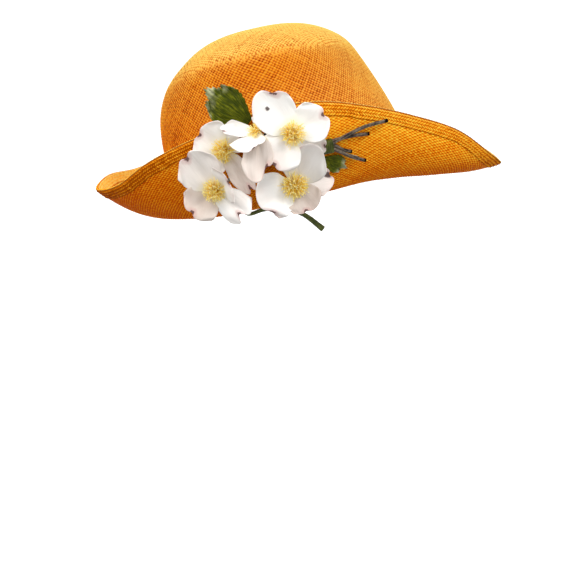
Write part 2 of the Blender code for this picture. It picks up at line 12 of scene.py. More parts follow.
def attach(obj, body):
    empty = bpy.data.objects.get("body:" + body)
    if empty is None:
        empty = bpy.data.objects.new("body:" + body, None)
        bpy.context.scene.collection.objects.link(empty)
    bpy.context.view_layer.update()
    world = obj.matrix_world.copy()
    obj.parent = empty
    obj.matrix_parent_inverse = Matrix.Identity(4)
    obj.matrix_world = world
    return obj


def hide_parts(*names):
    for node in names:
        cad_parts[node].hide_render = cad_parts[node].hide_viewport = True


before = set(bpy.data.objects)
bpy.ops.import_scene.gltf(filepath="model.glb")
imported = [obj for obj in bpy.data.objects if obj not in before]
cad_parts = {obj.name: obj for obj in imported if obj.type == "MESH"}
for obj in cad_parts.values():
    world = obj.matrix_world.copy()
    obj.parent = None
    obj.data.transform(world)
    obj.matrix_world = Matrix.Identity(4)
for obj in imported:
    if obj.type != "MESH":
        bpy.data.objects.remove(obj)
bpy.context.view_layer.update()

bpy.ops.object.select_all(action="DESELECT")
rng = np.random.default_rng(7)


def table_of(name, columns, *rows):
    """Rows of values under the names of their columns."""
    kind = namedtuple(name, columns)
    return [kind(*row) for row in rows]


# The view of the photograph: the wearer's right side, from a little above.
CAMERA_PLACE = (0.0009, -1.0657, 0.2028)
CAMERA_DOWN = 16.2
CAMERA_LENS = 74.48

# The solids' own sizes, which the weave and the flowers follow
HEAD_FRONT = 0.113
HEAD_BACK = 0.105
HEAD_HALF_WIDTH = 0.084
CROWN_HEIGHT = 0.133
TIP_FRONT = 0.0755
TIP_BACK = 0.093
TIP_HALF_WIDTH = 0.063
TIP_SQUARENESS = 2.3
TIP_FULLNESS = 2.8
SIDE_DENT = 0.004
DENT_FROM = 0.45
DENT_TIGHTNESS = 3
STRAW = 0.002
BRIM_REACH = 0.075
BRIM_HEIGHT = 0.080
ROLL_DEPTH = 0.020
BRAID_WIDTH = 0.0095
BRAID_THICKNESS = 0.0012
PETAL_LENGTH = 0.0335
PETAL_HALF_WIDTH = 0.0155
PETAL_WAIST = 0.12
PETAL_END_POWER = 2.2
PETAL_BEND_STEPS = 8
NOTCH_DEPTH = 0.1
NOTCH_HALF_WIDTH = 0.2
DISC_RADIUS = 0.0045
NECK_SHARE = 0.45
STAMEN_RADIUS = 0.0085
LEAF_ROUNDING = 0.3
TWIG_DIAMETER = 0.0026
GREEN_STEM_DIAMETER = 0.004
TIE_WALL = 0.001
TIE_LENGTH = 0.008
GREEN_STEM_DROP = 0.016
GREEN_STEM_NECK = 0.7
GREEN_STEM_SPLAY = 1.3
GREEN_STEM_DEPTH = 0.013
CLEARANCE = 0.0003
BUNDLE_PITCH = TWIG_DIAMETER + 2 * CLEARANCE
WORN_TILT = 12.0
WORN = Matrix.Rotation(radians(-WORN_TILT), 4, "Y")

# Sizes of the looks alone
SILK = 0.0004
FLOOR_HEIGHT = -0.40
ROUND_STEPS = 240
STRAND_PITCH = 0.00225
TIP_PITCH = STRAND_PITCH * 0.94
STRAND_FULLNESS = 0.00042
STRAND_PLAY = 0.035
LIFT_PLAY = 0.00003
BACKING_DEPTH = 0.00035
CLOTH_STEP = 0.0015
LEAN = radians(38)
WALL_STEPS = 40
WALL_PITCH_DOWN = 0.0020
WALL_PITCH_UP = 0.00235
WALL_FOOT = 0.0002
WALL_LAP = 0.0012
CROWN_ROUND = pi * (HEAD_HALF_WIDTH + TIP_BACK)
SHOULDER_SOFTNESS = 12
TIP_EDGE = 0.01
BRIM_PITCH = 0.0021
BRIM_ROUND = pi * (HEAD_FRONT + HEAD_BACK)
BRIM_SPREAD = 2.0
WINDING_STRANDS = 214
UNDER_BRAID = 0.04
BACKING_COLUMNS = 160
BRAID_STEP = 0.0006
BRAID_BACKING_DEPTH = 0.00015
BRAID_FACE = STRAW / 2 + CLEARANCE + BRAID_THICKNESS * 0.3
BRAID_COLUMNS = 400
THREAD_COLUMNS = 300
LIP_STEPS = 6
PETAL_COLUMNS = 35
PETAL_ROWS = 28
PETAL_WAVE = 0.0019
PETAL_FOLD = 0.0034
STAMENS = 380
STAMEN_LEAN = radians(72)
FILAMENT_FOOT = 0.0016
FILAMENT_RADIUS = 0.00014
POLLEN_RADIUS = 0.00030
BUTTON_GRAINS = 22
BUTTON_RADIUS = 0.0019
BUTTON_HEIGHT = 0.0026
BUTTON_DOME = 0.0012
BUTTON_GRAIN_RADIUS = 0.0006
GOLDEN_TURN = 2.39996
LEAF_COLUMNS = 64
LEAF_ROWS = 36
BARK_FULLNESS = 1.12
STEM_SIDES = 14
STEM_STEPS = 8
KNOT_DEPTH = 0.03
TAPE_SIDES = 28
TAPE_TURNS = 5
TAPE_ROWS = 4

# How a grid's face runs round its corners: here, next in the row, the far one, next row
OUTWARD = (0, 3, 2, 1)
INWARD = (1, 2, 3, 0)

# Straw where a strand dips, darker as painted shade, on its slope, on its crest, lighter as painted light,
# and the painted highlight where it faces up
STRAW_COLOURS = ((0.20, 0.020, 0.0), (0.62, 0.120, 0.001), (0.79, 0.285, 0.007), (0.67, 0.55, 0.14))
# The brim's under face has lighter colours than the crown and the brim's upper face: painted light and
# shade on one straw
BRIM_COLOURS = ((0.66, 0.090, 0.0), (0.99, 0.29, 0.003), (1.0, 0.65, 0.05), (0.86, 0.60, 0.17))
UPPER_COLOURS = ((0.38, 0.055, 0.0), (0.88, 0.24, 0.003), (0.94, 0.48, 0.025), (0.84, 0.58, 0.15))
BRAID_COLOURS = ((0.34, 0.048, 0.0), (0.96, 0.28, 0.004), (1.0, 0.58, 0.045), (0.88, 0.61, 0.18))

# Painted shadow of the flowers on the straw behind the middle of the spray: its reach and its colour
SPRAY_SHADOW_REACH = 0.045
SPRAY_SHADOW = (0.25, 0.030, 0.0)

# The sky's light grows with the height that it comes from
SKY = {"From Min": -0.6, "From Max": 0.7, "To Min": 0.40, "To Max": 0.89}
LAMPS = (
    ("overhead", (0.1, 0.35, 1.3), (0, 0, 0.05), 0.8, 3.0),
    ("key", (0.75, -0.75, 0.95), (0, 0, 0.05), 0.5, 7.8),
    ("fill", (-0.95, -0.35, 0.9), (0, 0, 0.05), 0.6, 8.5),
    ("front", (0.1, -1.2, 0.4), (0, 0, 0.03), 0.7, 2.1),
)

# Rows by angle round the hat: 0 is the front, and -90 the side that the picture shows
SHOULDER = table_of(
    "Shoulder", "angle rise power",
    (-150, 0.790, 4.0),
    (-120, 0.870, 2.4),
    (-90, 0.886, 2.0),
    (-60, 0.868, 1.8),
    (-30, 0.820, 1.5),
    (0, 0.805, 1.4),
    (30, 0.820, 1.5),
    (60, 0.868, 1.8),
    (90, 0.886, 2.0),
    (120, 0.870, 2.4),
    (150, 0.790, 4.0),
    (180, 0.684, 5.0),
)
BRIM = table_of(
    "BrimRow", "angle reach edge_rise roll_out roll_drop flare_out flare_rise",
    (-165, 0.84, 0.365, 0.22, 0.76, 0.58, 0.06),
    (-150, 0.77, 0.445, 0.20, 0.76, 0.55, 0.09),
    (-135, 0.67, 0.650, 0.20, 0.82, 0.51, 0.14),
    (-120, 0.60, 0.790, 0.20, 0.82, 0.51, 0.18),
    (-105, 0.58, 0.885, 0.24, 0.62, 0.53, 0.25),
    (-90, 0.585, 0.975, 0.28, 0.38, 0.53, 0.31),
    (-75, 0.58, 0.940, 0.28, 0.30, 0.53, 0.30),
    (-60, 0.61, 0.790, 0.26, 0.30, 0.56, 0.23),
    (-45, 0.69, 0.570, 0.22, 0.62, 0.64, 0.01),
    (-30, 0.82, 0.285, 0.25, 0.80, 0.72, -0.25),
    (-15, 0.94, -0.130, 0.30, 0.75, 0.70, -0.38),
    (0, 0.98, -0.320, 0.33, 0.70, 0.66, -0.35),
    (30, 0.97, -0.100, 0.36, 0.60, 0.73, -0.26),
    (60, 0.95, 0.150, 0.37, 0.50, 0.76, -0.08),
    (90, 0.93, 0.225, 0.37, 0.50, 0.76, -0.04),
    (120, 0.92, 0.275, 0.37, 0.55, 0.76, -0.04),
    (150, 0.90, 0.275, 0.34, 0.75, 0.70, -0.05),
    (165, 0.88, 0.345, 0.28, 0.85, 0.66, -0.04),
    (180, 0.855, 0.345, 0.24, 0.80, 0.61, 0.02),
)
FLOWERS = table_of(
    "Flower", "name angle share stand_off turn tilt tuft",
    ("1", -84.6, 0.90, 0.74, 4.0, 10.0, 1.0),
    ("2", -105.5, 0.91, 0.36, -14.0, 6.0, 1.0),
    ("3", -110.4, 0.75, 0.74, -10.0, 4.0, 1.0),
    ("4", -94.0, 0.95, 0.60, -26.0, 38.0, 0.6),
    ("5", -87.1, 0.60, 0.60, 6.0, 0.0, 1.15),
)
# Bracts by flower and direction. The notch is a place across the end, the rest shares and degrees
# The last column darkens a bract to greyish pink: partly the silk's own tint, partly painted shade on
# bracts that face down
PETALS = table_of(
    "Petal", "flower direction length width lift curl cup roll notch bite rounding fold ruffle tint",
    ("1", 119, 1.12, 1.08, 10, 10, 14, 0, -0.53, 1.1, 0.40, 0.2, 0.4, 0.0),
    ("1", 19, 0.80, 1.02, 12, 8, 14, 0, 0.0, 1.1, 0.40, 0.4, 0.7, 0.0),
    ("1", -37, 0.84, 0.74, -22, -14, 0, 44, 0.3, 0.6, 0.30, 0.6, 0.8, 0.1),
    ("1", -138, 0.78, 1.12, 9, -8, -8, 0, 0.1, 1.0, 0.38, 0.7, 0.9, 0.2),
    ("2", 132, 0.62, 1.12, 13, 8, 12, 0, 0.1, 1.0, 0.38, 0.5, 0.8, 0.05),
    ("2", 30, 0.42, 0.64, 4, -4, 4, 0, 0.0, 1.0, 0.38, 0.6, 1.0, 0.15),
    ("2", -66, 1.10, 0.62, 2, -8, -10, 0, 0.0, 1.4, 0.38, 0.8, 1.6, 0.8),
    ("2", -150, 0.50, 0.80, -3, -6, 2, 0, 0.2, 1.0, 0.38, 0.5, 0.8, 0.3),
    ("3", 114, 0.98, 1.14, 10, 6, 12, 0, 0.12, 1.0, 0.42, 0.6, 0.9, 0.45),
    ("3", 20, 0.66, 1.04, 55, -8, 14, 0, 0.0, 0.8, 0.38, 0.8, 1.1, 0.35),
    ("3", -48, 0.98, 0.84, 12, 8, -34, 0, -0.1, 2.8, 0.30, 0.8, 0.9, 0.05),
    ("3", -147, 0.70, 1.02, 8, 6, 12, 0, 0.0, 1.0, 0.38, 0.5, 0.9, 1.0),
    ("4", 178, 0.74, 0.40, 22, 2, 34, 0, 0.4, 1.0, 0.38, 0.4, 0.8, 0.05),
    ("4", 70, 0.26, 0.50, 16, 6, 14, 0, 0.0, 0.6, 0.38, 0.4, 0.5, 0.1),
    ("4", -98, 0.62, 0.90, 44, -26, 10, 0, 0.6, 0.8, 0.30, 0.8, 1.2, 0.1),
    ("4", -86, 1.10, 0.90, -6, -6, -16, 0, 0.6, 1.6, 0.34, 0.5, 1.2, 0.8),
    ("5", 56, 1.12, 1.12, 28, 2, 22, 0, 0.75, 0.8, 0.50, 0.9, 1.0, 0.25),
    ("5", -4, 0.86, 0.80, -6, -10, 8, 0, 0.25, 1.0, 0.38, 0.5, 0.9, 0.4),
    ("5", -66, 0.62, 0.92, 0, 0, 12, 0, -0.3, 1.0, 0.38, 0.5, 0.8, 1.0),
    ("5", -168, 0.84, 1.24, 22, -16, 14, 0, 0.6, 1.4, 0.38, 1.0, 1.5, 0.0),
)
SPOTS = table_of(
    "Spot", "flower direction across along size",
    ("1", 119, 0.13, 0.62, 0.05),
    ("5", -4, 0.25, 0.9, 0.12),
)
TIE_ANGLE = -74.0
TIE_SHARE = 0.755
TWIGS = table_of(
    "Twig", "flower layer_up layer_out end_angle end_share end_off",
    ("1", 1, 1, -54.0, 0.945, 1.9),
    ("2", 0, 0, -66.5, 0.705, 1.9),
    ("3", -1, 0, -64.0, 0.640, 1.0),
    ("4", 1, 0, -60.0, 0.835, 1.2),
    ("5", -1, 1, -62.0, 0.635, 2.3),
)
LEAVES = table_of(
    "Leaf", "name angle share stand_off direction lift turn length width ribs teeth",
    ("leaf_large", -96.4, 0.98, 0.92, 131.0, -3.0, -6.0, 0.04, 0.44, 7, 13),
    ("leaf_small", -75.6, 0.66, 0.25, -34.0, 4.0, 0.0, 0.0195, 0.42, 5, 9),
)
GREEN_STEM = table_of(
    "StemPoint", "angle share height drop width",
    (-106.5, 0.40, 2.0, 0.2, 0.8),
    (-99.5, 0.40, 2.4, 0.2, 0.9),
    (-92.8, 0.34, 2.6, 0.2, 1.0),
    (-86.0, 0.26, 3.0, 0.5, 1.0),
    (-80.0, 0.24, 3.6, 1.35, 1.3),
)

# Each row's middle and half width as shares of the way over, and how far its strands slant, in strands
BRAID_ROWS = table_of(
    "BraidRow", "middle half slant",
    (0.060, 0.060, 0.7),
    (0.172, 0.056, -0.7),
    (0.284, 0.056, 0.7),
    (0.396, 0.056, -0.7),
    (0.500, 0.052, 0.3),
)
INNER_ROWS = [row._replace(middle=1 - row.middle) for row in BRAID_ROWS[:-1]]
THREAD_ROWS = [BRAID_ROWS[0]._replace(middle=0.465, half=0.009, slant=0.6)]


# Shapes: the solids' own, with fuller bracts that have values of their own

def hermite(here, there, slope_here, slope_there, span, t):
    blend = t * t * (3 - 2 * t)
    bow = slope_here * (1 - t) - slope_there * t
    return here * (1 - blend) + there * blend + bow * (span * t * (1 - t))


def row_at(table, angle):
    rows = sorted(table)
    last = len(rows)
    angle = (angle + 180) % 360 - 180
    index = sum(row.angle <= angle for row in rows) - 1

    def place(i):
        return rows[i % last].angle + 360 * (i // last)

    def slope(i, column):
        rise = rows[(i + 1) % last][column] - rows[(i - 1) % last][column]
        return rise / (place(i + 1) - place(i - 1))

    span = place(index + 1) - place(index)
    t = (angle - place(index)) / span
    here, there = rows[index % last], rows[(index + 1) % last]
    columns = range(1, len(here))
    values = [
        hermite(here[c], there[c], slope(index, c), slope(index + 1, c), span, t) for c in columns
    ]
    return type(here)(angle, *values)


def oval(angle, front, back, half_width, squareness=2.0):
    c, s = cos(radians(angle)), sin(radians(angle))
    power = 2 / squareness
    along = copysign(abs(c) ** power, c) * (front if c > 0 else back)
    return Vector((along, copysign(abs(s) ** power, s) * half_width, 0))


def headline(angle):
    return oval(angle, HEAD_FRONT, HEAD_BACK, HEAD_HALF_WIDTH)


def outward(angle):
    c, s = cos(radians(angle)), sin(radians(angle))
    along = c / (HEAD_FRONT if c > 0 else HEAD_BACK)
    return Vector((along, s / HEAD_HALF_WIDTH, 0)).normalized()


def crown_point(angle, level):
    """The crown's outer face: level 0 to 1 is the wall, and 1 to 2 the tip up to its highest point."""
    shoulder = row_at(SHOULDER, angle)
    rim = oval(angle, TIP_FRONT, TIP_BACK, TIP_HALF_WIDTH, TIP_SQUARENESS)
    height = shoulder.rise * CROWN_HEIGHT
    if level > 1:
        inward = level - 1
        lift = 1 - (1 - inward) ** TIP_FULLNESS
        return rim * (1 - inward) + Vector((0, 0, height + (CROWN_HEIGHT - height) * lift))
    point = headline(angle).lerp(rim, level**shoulder.power)
    side = abs(sin(radians(angle))) ** DENT_TIGHTNESS
    depth = sin(pi * max(0, (level - DENT_FROM) / (1 - DENT_FROM)))
    return point - outward(angle) * SIDE_DENT * side * depth + Vector((0, 0, height * level))


def brim_curve(angle, share):
    """The middle of the brim's wall: share 0 is at the headline and 1 at the edge."""
    row = row_at(BRIM, angle)
    start = -CLEARANCE - STRAW / 2
    roll = start - row.roll_drop * ROLL_DEPTH
    outs = [part * BRIM_REACH for part in (0, row.roll_out, row.flare_out, row.reach)]
    heights = (start, roll, row.flare_rise * BRIM_HEIGHT, row.edge_rise * BRIM_HEIGHT)
    back = 1 - share
    weights = (back**3, 3 * share * back**2, 3 * share**2 * back, share**3)
    out = sum(w * o for w, o in zip(weights, outs))
    height = sum(w * h for w, h in zip(weights, heights))
    return headline(angle) + outward(angle) * out + Vector((0, 0, height))


def brim_frame(angle, share):
    """A point of the brim's middle and the directions to the front, up to the edge and outward there."""
    turn, step = 1.0, 0.01
    along = brim_curve(angle + turn, share) - brim_curve(angle - turn, share)
    up = brim_curve(angle, min(1, share + step)) - brim_curve(angle, share - step)
    out = along.cross(up).normalized()
    up.normalize()
    return brim_curve(angle, share), up.cross(out), up, out


def off_brim(angle, share, height):
    point, _, _, out = brim_frame(angle, share)
    return point + out * (STRAW / 2 + height)


def petal_point(petal, along, across):
    """A point of one bract in its flower's face axes, on the solid's sheet but fuller at its foot."""
    reach = PETAL_LENGTH * petal.length
    opening = NOTCH_HALF_WIDTH * max(1, petal.bite) ** 0.5
    notch = NOTCH_DEPTH * petal.bite * exp(-(((across - petal.notch) / opening) ** 2))
    end = 1 - petal.rounding * abs(across) ** PETAL_END_POWER - notch
    swell = sin(pi * (0.1 + 0.5 * along))
    spread = PETAL_WAIST + (1 - PETAL_WAIST) * swell
    x, z = DISC_RADIUS * min(1, 0.3 + 4 * along), 0.0
    for step in range(PETAL_BEND_STEPS):
        bend = radians(petal.lift + petal.curl * (step + 0.5) / PETAL_BEND_STEPS * along)
        x += reach * end * along / PETAL_BEND_STEPS * cos(bend)
        z += reach * end * along / PETAL_BEND_STEPS * sin(bend)
    half = PETAL_HALF_WIDTH * petal.width * spread**0.6 * min(1, 0.45 + 3 * along)
    y = half * across
    z += half * across**2 * sin(radians(petal.cup)) * along
    z += y * sin(radians(petal.roll)) * along
    y *= cos(radians(petal.roll) * along)
    return Vector((x, y, z))


def flower_named(name):
    return next(flower for flower in FLOWERS if flower.name == name)


def flower_place(flower):
    """The matrix from a flower's face axes to the hat's own axes."""
    middle = off_brim(flower.angle, flower.share, flower.stand_off * PETAL_LENGTH)
    face = Matrix(((1, 0, 0), (0, 0, -1), (0, 1, 0))).to_4x4()
    turned = (radians(-flower.tilt), 0, radians(flower.turn))
    return Matrix.Translation(middle) @ Euler(turned).to_matrix().to_4x4() @ face


def smooth_route(points, steps):
    last = len(points) - 1
    lengths = [(q - p).length for p, q in zip(points, points[1:])]

    def slope(i):
        low, high = max(0, i - 1), min(last, i + 1)
        return (points[high] - points[low]) / sum(lengths[low:high])

    route = []
    for i in range(last):
        for k in range(steps):
            args = (points[i], points[i + 1], slope(i), slope(i + 1), lengths[i], k / steps)
            route.append(hermite(*args))
    return [*route, points[last]]


def tie_place(layer_up, layer_out):
    seat = CLEARANCE + TIE_WALL + CLEARANCE + TWIG_DIAMETER / 2
    point, _, up, out = brim_frame(TIE_ANGLE, TIE_SHARE)
    return point + up * layer_up * BUNDLE_PITCH + out * (STRAW / 2 + seat + layer_out * BUNDLE_PITCH)


def twig_route(twig):
    flower = flower_named(twig.flower)
    place = flower_place(flower)
    neck = flower.stand_off * PETAL_LENGTH * NECK_SHARE
    seat = TWIG_DIAMETER / 2 + 2 * CLEARANCE + TIE_WALL + twig.layer_out * BUNDLE_PITCH
    points = [place @ Vector((0, 0, -SILK)), place @ Vector((0, 0, -neck))]

    def on_brim(angle, share, height, spread):
        _, _, up, _ = brim_frame(angle, share)
        points.append(off_brim(angle, share, height) + up * twig.layer_up * BUNDLE_PITCH * spread)

    for run in (0.25, 0.55):
        angle = flower.angle + (TIE_ANGLE - flower.angle) * run
        on_brim(angle, flower.share + (TIE_SHARE - flower.share) * run, seat, run)
    passing = tie_place(twig.layer_up, twig.layer_out)
    _, front, _, _ = brim_frame(TIE_ANGLE, TIE_SHARE)
    points += [passing + front * TIE_LENGTH * along for along in (-0.55, 0, 0.55)]
    for run in (0.6, 1.0):
        angle = TIE_ANGLE + (twig.end_angle - TIE_ANGLE) * run
        height = seat + (twig.end_off * TWIG_DIAMETER - seat) * run
        on_brim(angle, TIE_SHARE + (twig.end_share - TIE_SHARE) * run, height, 1 - run)
    return points


def green_stem_route():
    place = flower_place(flower_named("3"))
    beside = -(TWIG_DIAMETER + GREEN_STEM_DIAMETER) / 2 - CLEARANCE
    points = [
        place @ Vector((0, beside, -SILK)),
        place @ Vector((0, beside * GREEN_STEM_SPLAY, -SILK - GREEN_STEM_DEPTH)),
    ]
    widths = [GREEN_STEM_NECK, GREEN_STEM_NECK]
    for row in GREEN_STEM:
        down = Vector((0, 0, -row.drop * GREEN_STEM_DROP))
        points.append(off_brim(row.angle, row.share, row.height * TWIG_DIAMETER) + down)
        widths.append(row.width)
    return points, widths


# Finishes

SPRAY_MIDDLE = sum((flower_place(flower).translation for flower in FLOWERS), Vector()) / len(FLOWERS)


class Field:
    """One output socket of a finish. Python's signs on it add Math nodes."""

    def __init__(self, finish, socket):
        self.finish, self.socket = finish, socket

    def other(self, output):
        """Another output of the same node."""
        return Field(self.finish, self.socket.node.outputs[output])

    def math(self, operation, *others, clamp=False):
        settings = {"operation": operation, "use_clamp": clamp}
        return self.finish.node("ShaderNodeMath", settings, (self, *others))

    def __add__(self, other):
        return self.math("ADD", other)

    def __sub__(self, other):
        return self.math("SUBTRACT", other)

    def __rsub__(self, other):
        return self.math("MULTIPLY", -1) + other

    def __mul__(self, other):
        return self.math("MULTIPLY", other)

    __radd__ = __add__
    __rmul__ = __mul__

    def clamped(self):
        return self.math("ADD", 0, clamp=True)

    def ramp(self, *stops):
        """The field through a colour ramp of (place, colour) stops."""
        return self.finish.node("ShaderNodeValToRGB", {"stops": stops}, (self,))


class Finish:
    """A material, and the one way its nodes are made."""

    def __init__(self, name, **fixed):
        self.material = bpy.data.materials.new(name)
        self.material.use_nodes = True
        self.nodes = self.material.node_tree.nodes
        self.links = self.material.node_tree.links
        self.shader = self.nodes["Principled BSDF"]
        self.colour = None
        for socket, value in fixed.items():
            self.shader.inputs[socket.replace("_", " ")].default_value = value

    def node(self, kind, settings=None, inputs=(), output=0):
        node = self.nodes.new(kind)
        for key, value in (settings or {}).items():
            if key == "stops":
                while len(node.color_ramp.elements) < len(value):
                    node.color_ramp.elements.new(0.5)
                for element, (place, colour) in zip(node.color_ramp.elements, value):
                    element.position = place
                    element.color = (*colour, 1)
            else:
                setattr(node, key, value)
        named = inputs.items() if isinstance(inputs, dict) else enumerate(inputs)
        for key, value in named:
            self.feed(node.inputs[key], value)
        return Field(self, node.outputs[output])

    def feed(self, socket, value):
        if isinstance(value, Field):
            self.links.new(value.socket, socket)
        elif isinstance(value, tuple) and len(value) == 3 and socket.type == "RGBA":
            socket.default_value = (*value, 1)
        else:
            socket.default_value = value

    def set(self, socket, value):
        self.feed(self.shader.inputs[socket], value)

    def mix(self, factor, first, second):
        inputs = {0: factor, 6: first, 7: second}
        return self.node("ShaderNodeMix", {"data_type": "RGBA"}, inputs, output=2)

    def paint(self, colour, cover=None):
        """Gives the finish its colour, or lays one over it as far as cover says."""
        self.colour = colour if cover is None else self.mix(cover, self.colour, colour)
        self.set("Base Color", self.colour)

    def bump(self, height, distance, strength=1.0):
        inputs = {"Height": height, "Distance": distance, "Strength": strength}
        self.set("Normal", self.node("ShaderNodeBump", inputs=inputs))

    def attribute(self, name):
        return self.node("ShaderNodeAttribute", {"attribute_name": name}, output="Fac")

    def split(self, kind, output):
        """The first number of a node's vector. The others are its other outputs."""
        return self.node("ShaderNodeSeparateXYZ", inputs=(self.node(kind, output=output),))

    def uv(self):
        """The two numbers of the piece's own map."""
        across = self.split("ShaderNodeTexCoord", "UV")
        return across, across.other("Y")

    def noise(self, scale, detail=2.0, stretch=None):
        """Clouds in the scene's axes, or on the piece's own map where they are stretched."""
        vector = self.node("ShaderNodeTexCoord", output="UV" if stretch else "Object")
        if stretch:
            vector = self.node("ShaderNodeMapping", inputs={"Vector": vector, "Scale": (*stretch, 1.0)})
        inputs = {"Vector": vector, "Scale": scale, "Detail": detail}
        return self.node("ShaderNodeTexNoise", inputs=inputs)

    def lit_facing(self, backward):
        """How far the surface faces up and forward, towards the lamps, about -1 to 1: where light is
        painted.
        backward is what facing back adds."""
        forward = self.split("ShaderNodeNewGeometry", "Normal")
        back = (forward * -1).clamped() * backward
        return forward * 0.15 + back + forward.other("Z") * 0.95

    def paint_spray_shadow(self):
        """Paints the shadow that the flowers cast on what lies near the middle of the spray."""
        inputs = (self.node("ShaderNodeTexCoord", output="Object"), tuple(WORN @ SPRAY_MIDDLE))
        away = self.node("ShaderNodeVectorMath", {"operation": "DISTANCE"}, inputs, output="Value")
        shadowed = (1 - away * (1 / SPRAY_SHADOW_REACH)).clamped()
        self.paint(SPRAY_SHADOW, (shadowed * 1.5).clamped())


def straw_finish(name, colours, light_gain=0.15, unevenness=0.4, backward=0.0):
    """Shiny paper straw, with painted shade where a strand dips and painted light where it faces up and
    forward.
    light_gain is how much facing the light lightens it before the painted highlight, backward what facing
    back adds to that, and unevenness how far the strands and places differ."""
    deep, mid, bright, highlight = colours
    finish = Finish(name, Specular_IOR_Level=0.01)
    crest, tone = finish.attribute("crest"), finish.attribute("tone")
    facing_light = finish.lit_facing(backward)
    patches = finish.noise(38.0, detail=3.0)
    # Painted shade and light from the strand's crest and its facing, with the strands' own random tone
    lift = crest + (tone + patches - 1.0) * unevenness + facing_light * light_gain
    finish.paint(lift.clamped().ramp((0.1, deep), (0.45, mid), (0.8, bright)))
    # Painted highlight on crests that face up and forward
    highlight_cover = (facing_light * 1.1 - 0.12).clamped() * (crest * 1.1 + tone * 0.5 - 0.25).clamped()
    finish.paint(highlight, highlight_cover)
    # Painted shadow of the spray
    finish.paint_spray_shadow()
    fibres = finish.noise(3.0, detail=3.0, stretch=(9.0, 1.4))
    finish.set("Roughness", fibres * 0.25 + 0.45)
    finish.bump(fibres, 0.00008, 0.6)
    return finish.material


def lining_finish():
    """The straw seen from inside, with the weave as relief."""
    finish = Finish("orange_straw_lining", Roughness=0.7, Specular_IOR_Level=0.12)
    ridges, rows = ((way * pi).math("SINE").math("ABSOLUTE") for way in finish.uv())
    over = (ridges * rows).clamped()
    patches = finish.noise(60.0)
    # The weave drawn in colour, darker along the grooves between strands as painted shade
    finish.paint((over * 0.8 + patches * 0.3 - 0.05).clamped().ramp(
        (0.0, (0.22, 0.028, 0.0)), (0.5, (0.62, 0.12, 0.002)), (1.0, (0.92, 0.32, 0.012))))
    finish.bump(over, 0.0003)
    return finish.material


def gap_finish(name, colour):
    """One dull colour in patches, for what shows between the strands, the thread and the cut ends.
    Near the middle of the spray it takes the painted shadow.
    """
    finish = Finish(name, Roughness=0.9, Specular_IOR_Level=0.0)
    finish.paint(finish.mix(finish.noise(60.0), colour, tuple(part * 1.4 for part in colour)))
    # Painted shadow of the spray
    finish.paint_spray_shadow()
    return finish.material


def silk_finish():
    """Brushed silk, paler than its stained notch. The map runs from the notch across, and up the bract."""
    finish = Finish("white_silk", Roughness=0.8, Specular_IOR_Level=0.2)
    across, along = finish.uv()
    patches = finish.noise(70.0, detail=3.0)
    finish.paint(finish.mix(patches, (0.97, 0.945, 0.90), (1.0, 0.99, 0.965)))
    # Greyish pink by bract: partly the silk's own tint, partly painted shade on bracts that face down or
    # lie in shadow
    shade = finish.attribute("tint") * (0.45 + patches * 0.7)
    finish.paint((0.62, 0.50, 0.42), shade.clamped())
    end = (along * 1.7 - 0.7).clamped()
    blush = end * (finish.noise(45.0) * 2.4 - 0.85)
    finish.paint((0.84, 0.60, 0.52), blush.clamped() * 0.5)
    claw = (1 - along * 4.0).clamped()
    finish.paint((0.74, 0.66, 0.30), claw * 0.55)
    short = 0.97 - along
    ragged = (finish.noise(500.0) - 0.5) * 0.02
    mark = across * across * 0.32 + short * short * 1.2 + ragged
    stain = (1 - mark * 22).clamped()
    finish.paint((0.55, 0.29, 0.27), stain * 0.6)
    core = (1 - mark * 150).clamped()
    finish.paint((0.09, 0.035, 0.03), (core * 2.2).clamped() * 0.9)
    finish.paint((0.09, 0.06, 0.055), (finish.attribute("spot") * 3.5).clamped() * 0.95)
    veins = finish.noise(1.0, detail=2.0, stretch=(9.0, 1.6))
    weave = finish.noise(2600.0, detail=1.0)
    finish.bump(veins * 0.9 + weave * 0.1, 0.0007, 0.5)
    return finish.material


def stamen_finish():
    finish = Finish("stamen_yellow", Roughness=0.8, Specular_IOR_Level=0.05)
    crest, tone = finish.attribute("crest"), finish.attribute("tone")
    patches = finish.noise(350.0)
    finish.paint((crest + (patches - 0.5) * 0.5).clamped().ramp(
        (0.0, (0.72, 0.27, 0.008)), (0.35, (1.0, 0.52, 0.02)), (0.7, (1.0, 0.74, 0.10)),
        (1.0, (1.0, 0.86, 0.30))))
    finish.paint((1.0, 0.93, 0.50), (tone * 1.8 - 0.9).clamped() * crest)
    finish.bump(patches, 0.0002)
    return finish.material


def leaf_finish():
    finish = Finish("leaf_green", Specular_IOR_Level=0.08)
    _, along = finish.uv()
    crest = finish.attribute("crest")
    patches = finish.noise(150.0, detail=3.0)
    fine = finish.noise(1.0, detail=4.0, stretch=(36.0, 6.0))
    finish.paint((patches * 0.7 + fine + crest * 0.12 - 0.42).clamped().ramp(
        (0.15, (0.014, 0.024, 0.001)), (0.5, (0.060, 0.078, 0.001)), (0.85, (0.24, 0.25, 0.01))))
    vein = (1 - crest * 5).clamped()
    finish.paint((0.20, 0.21, 0.05), vein * 0.35)
    # Painted highlight: pale patches towards the leaf's far end, where it faces the light
    end_highlight = ((along * 4.0 - 2.9).clamped() * (patches * 4.0 - 1.6)).clamped()
    finish.paint((0.55, 0.56, 0.36), end_highlight * 0.8)
    finish.set("Roughness", fine * 0.3 + 0.35)
    finish.bump(fine, 0.0009, 0.9)
    return finish.material


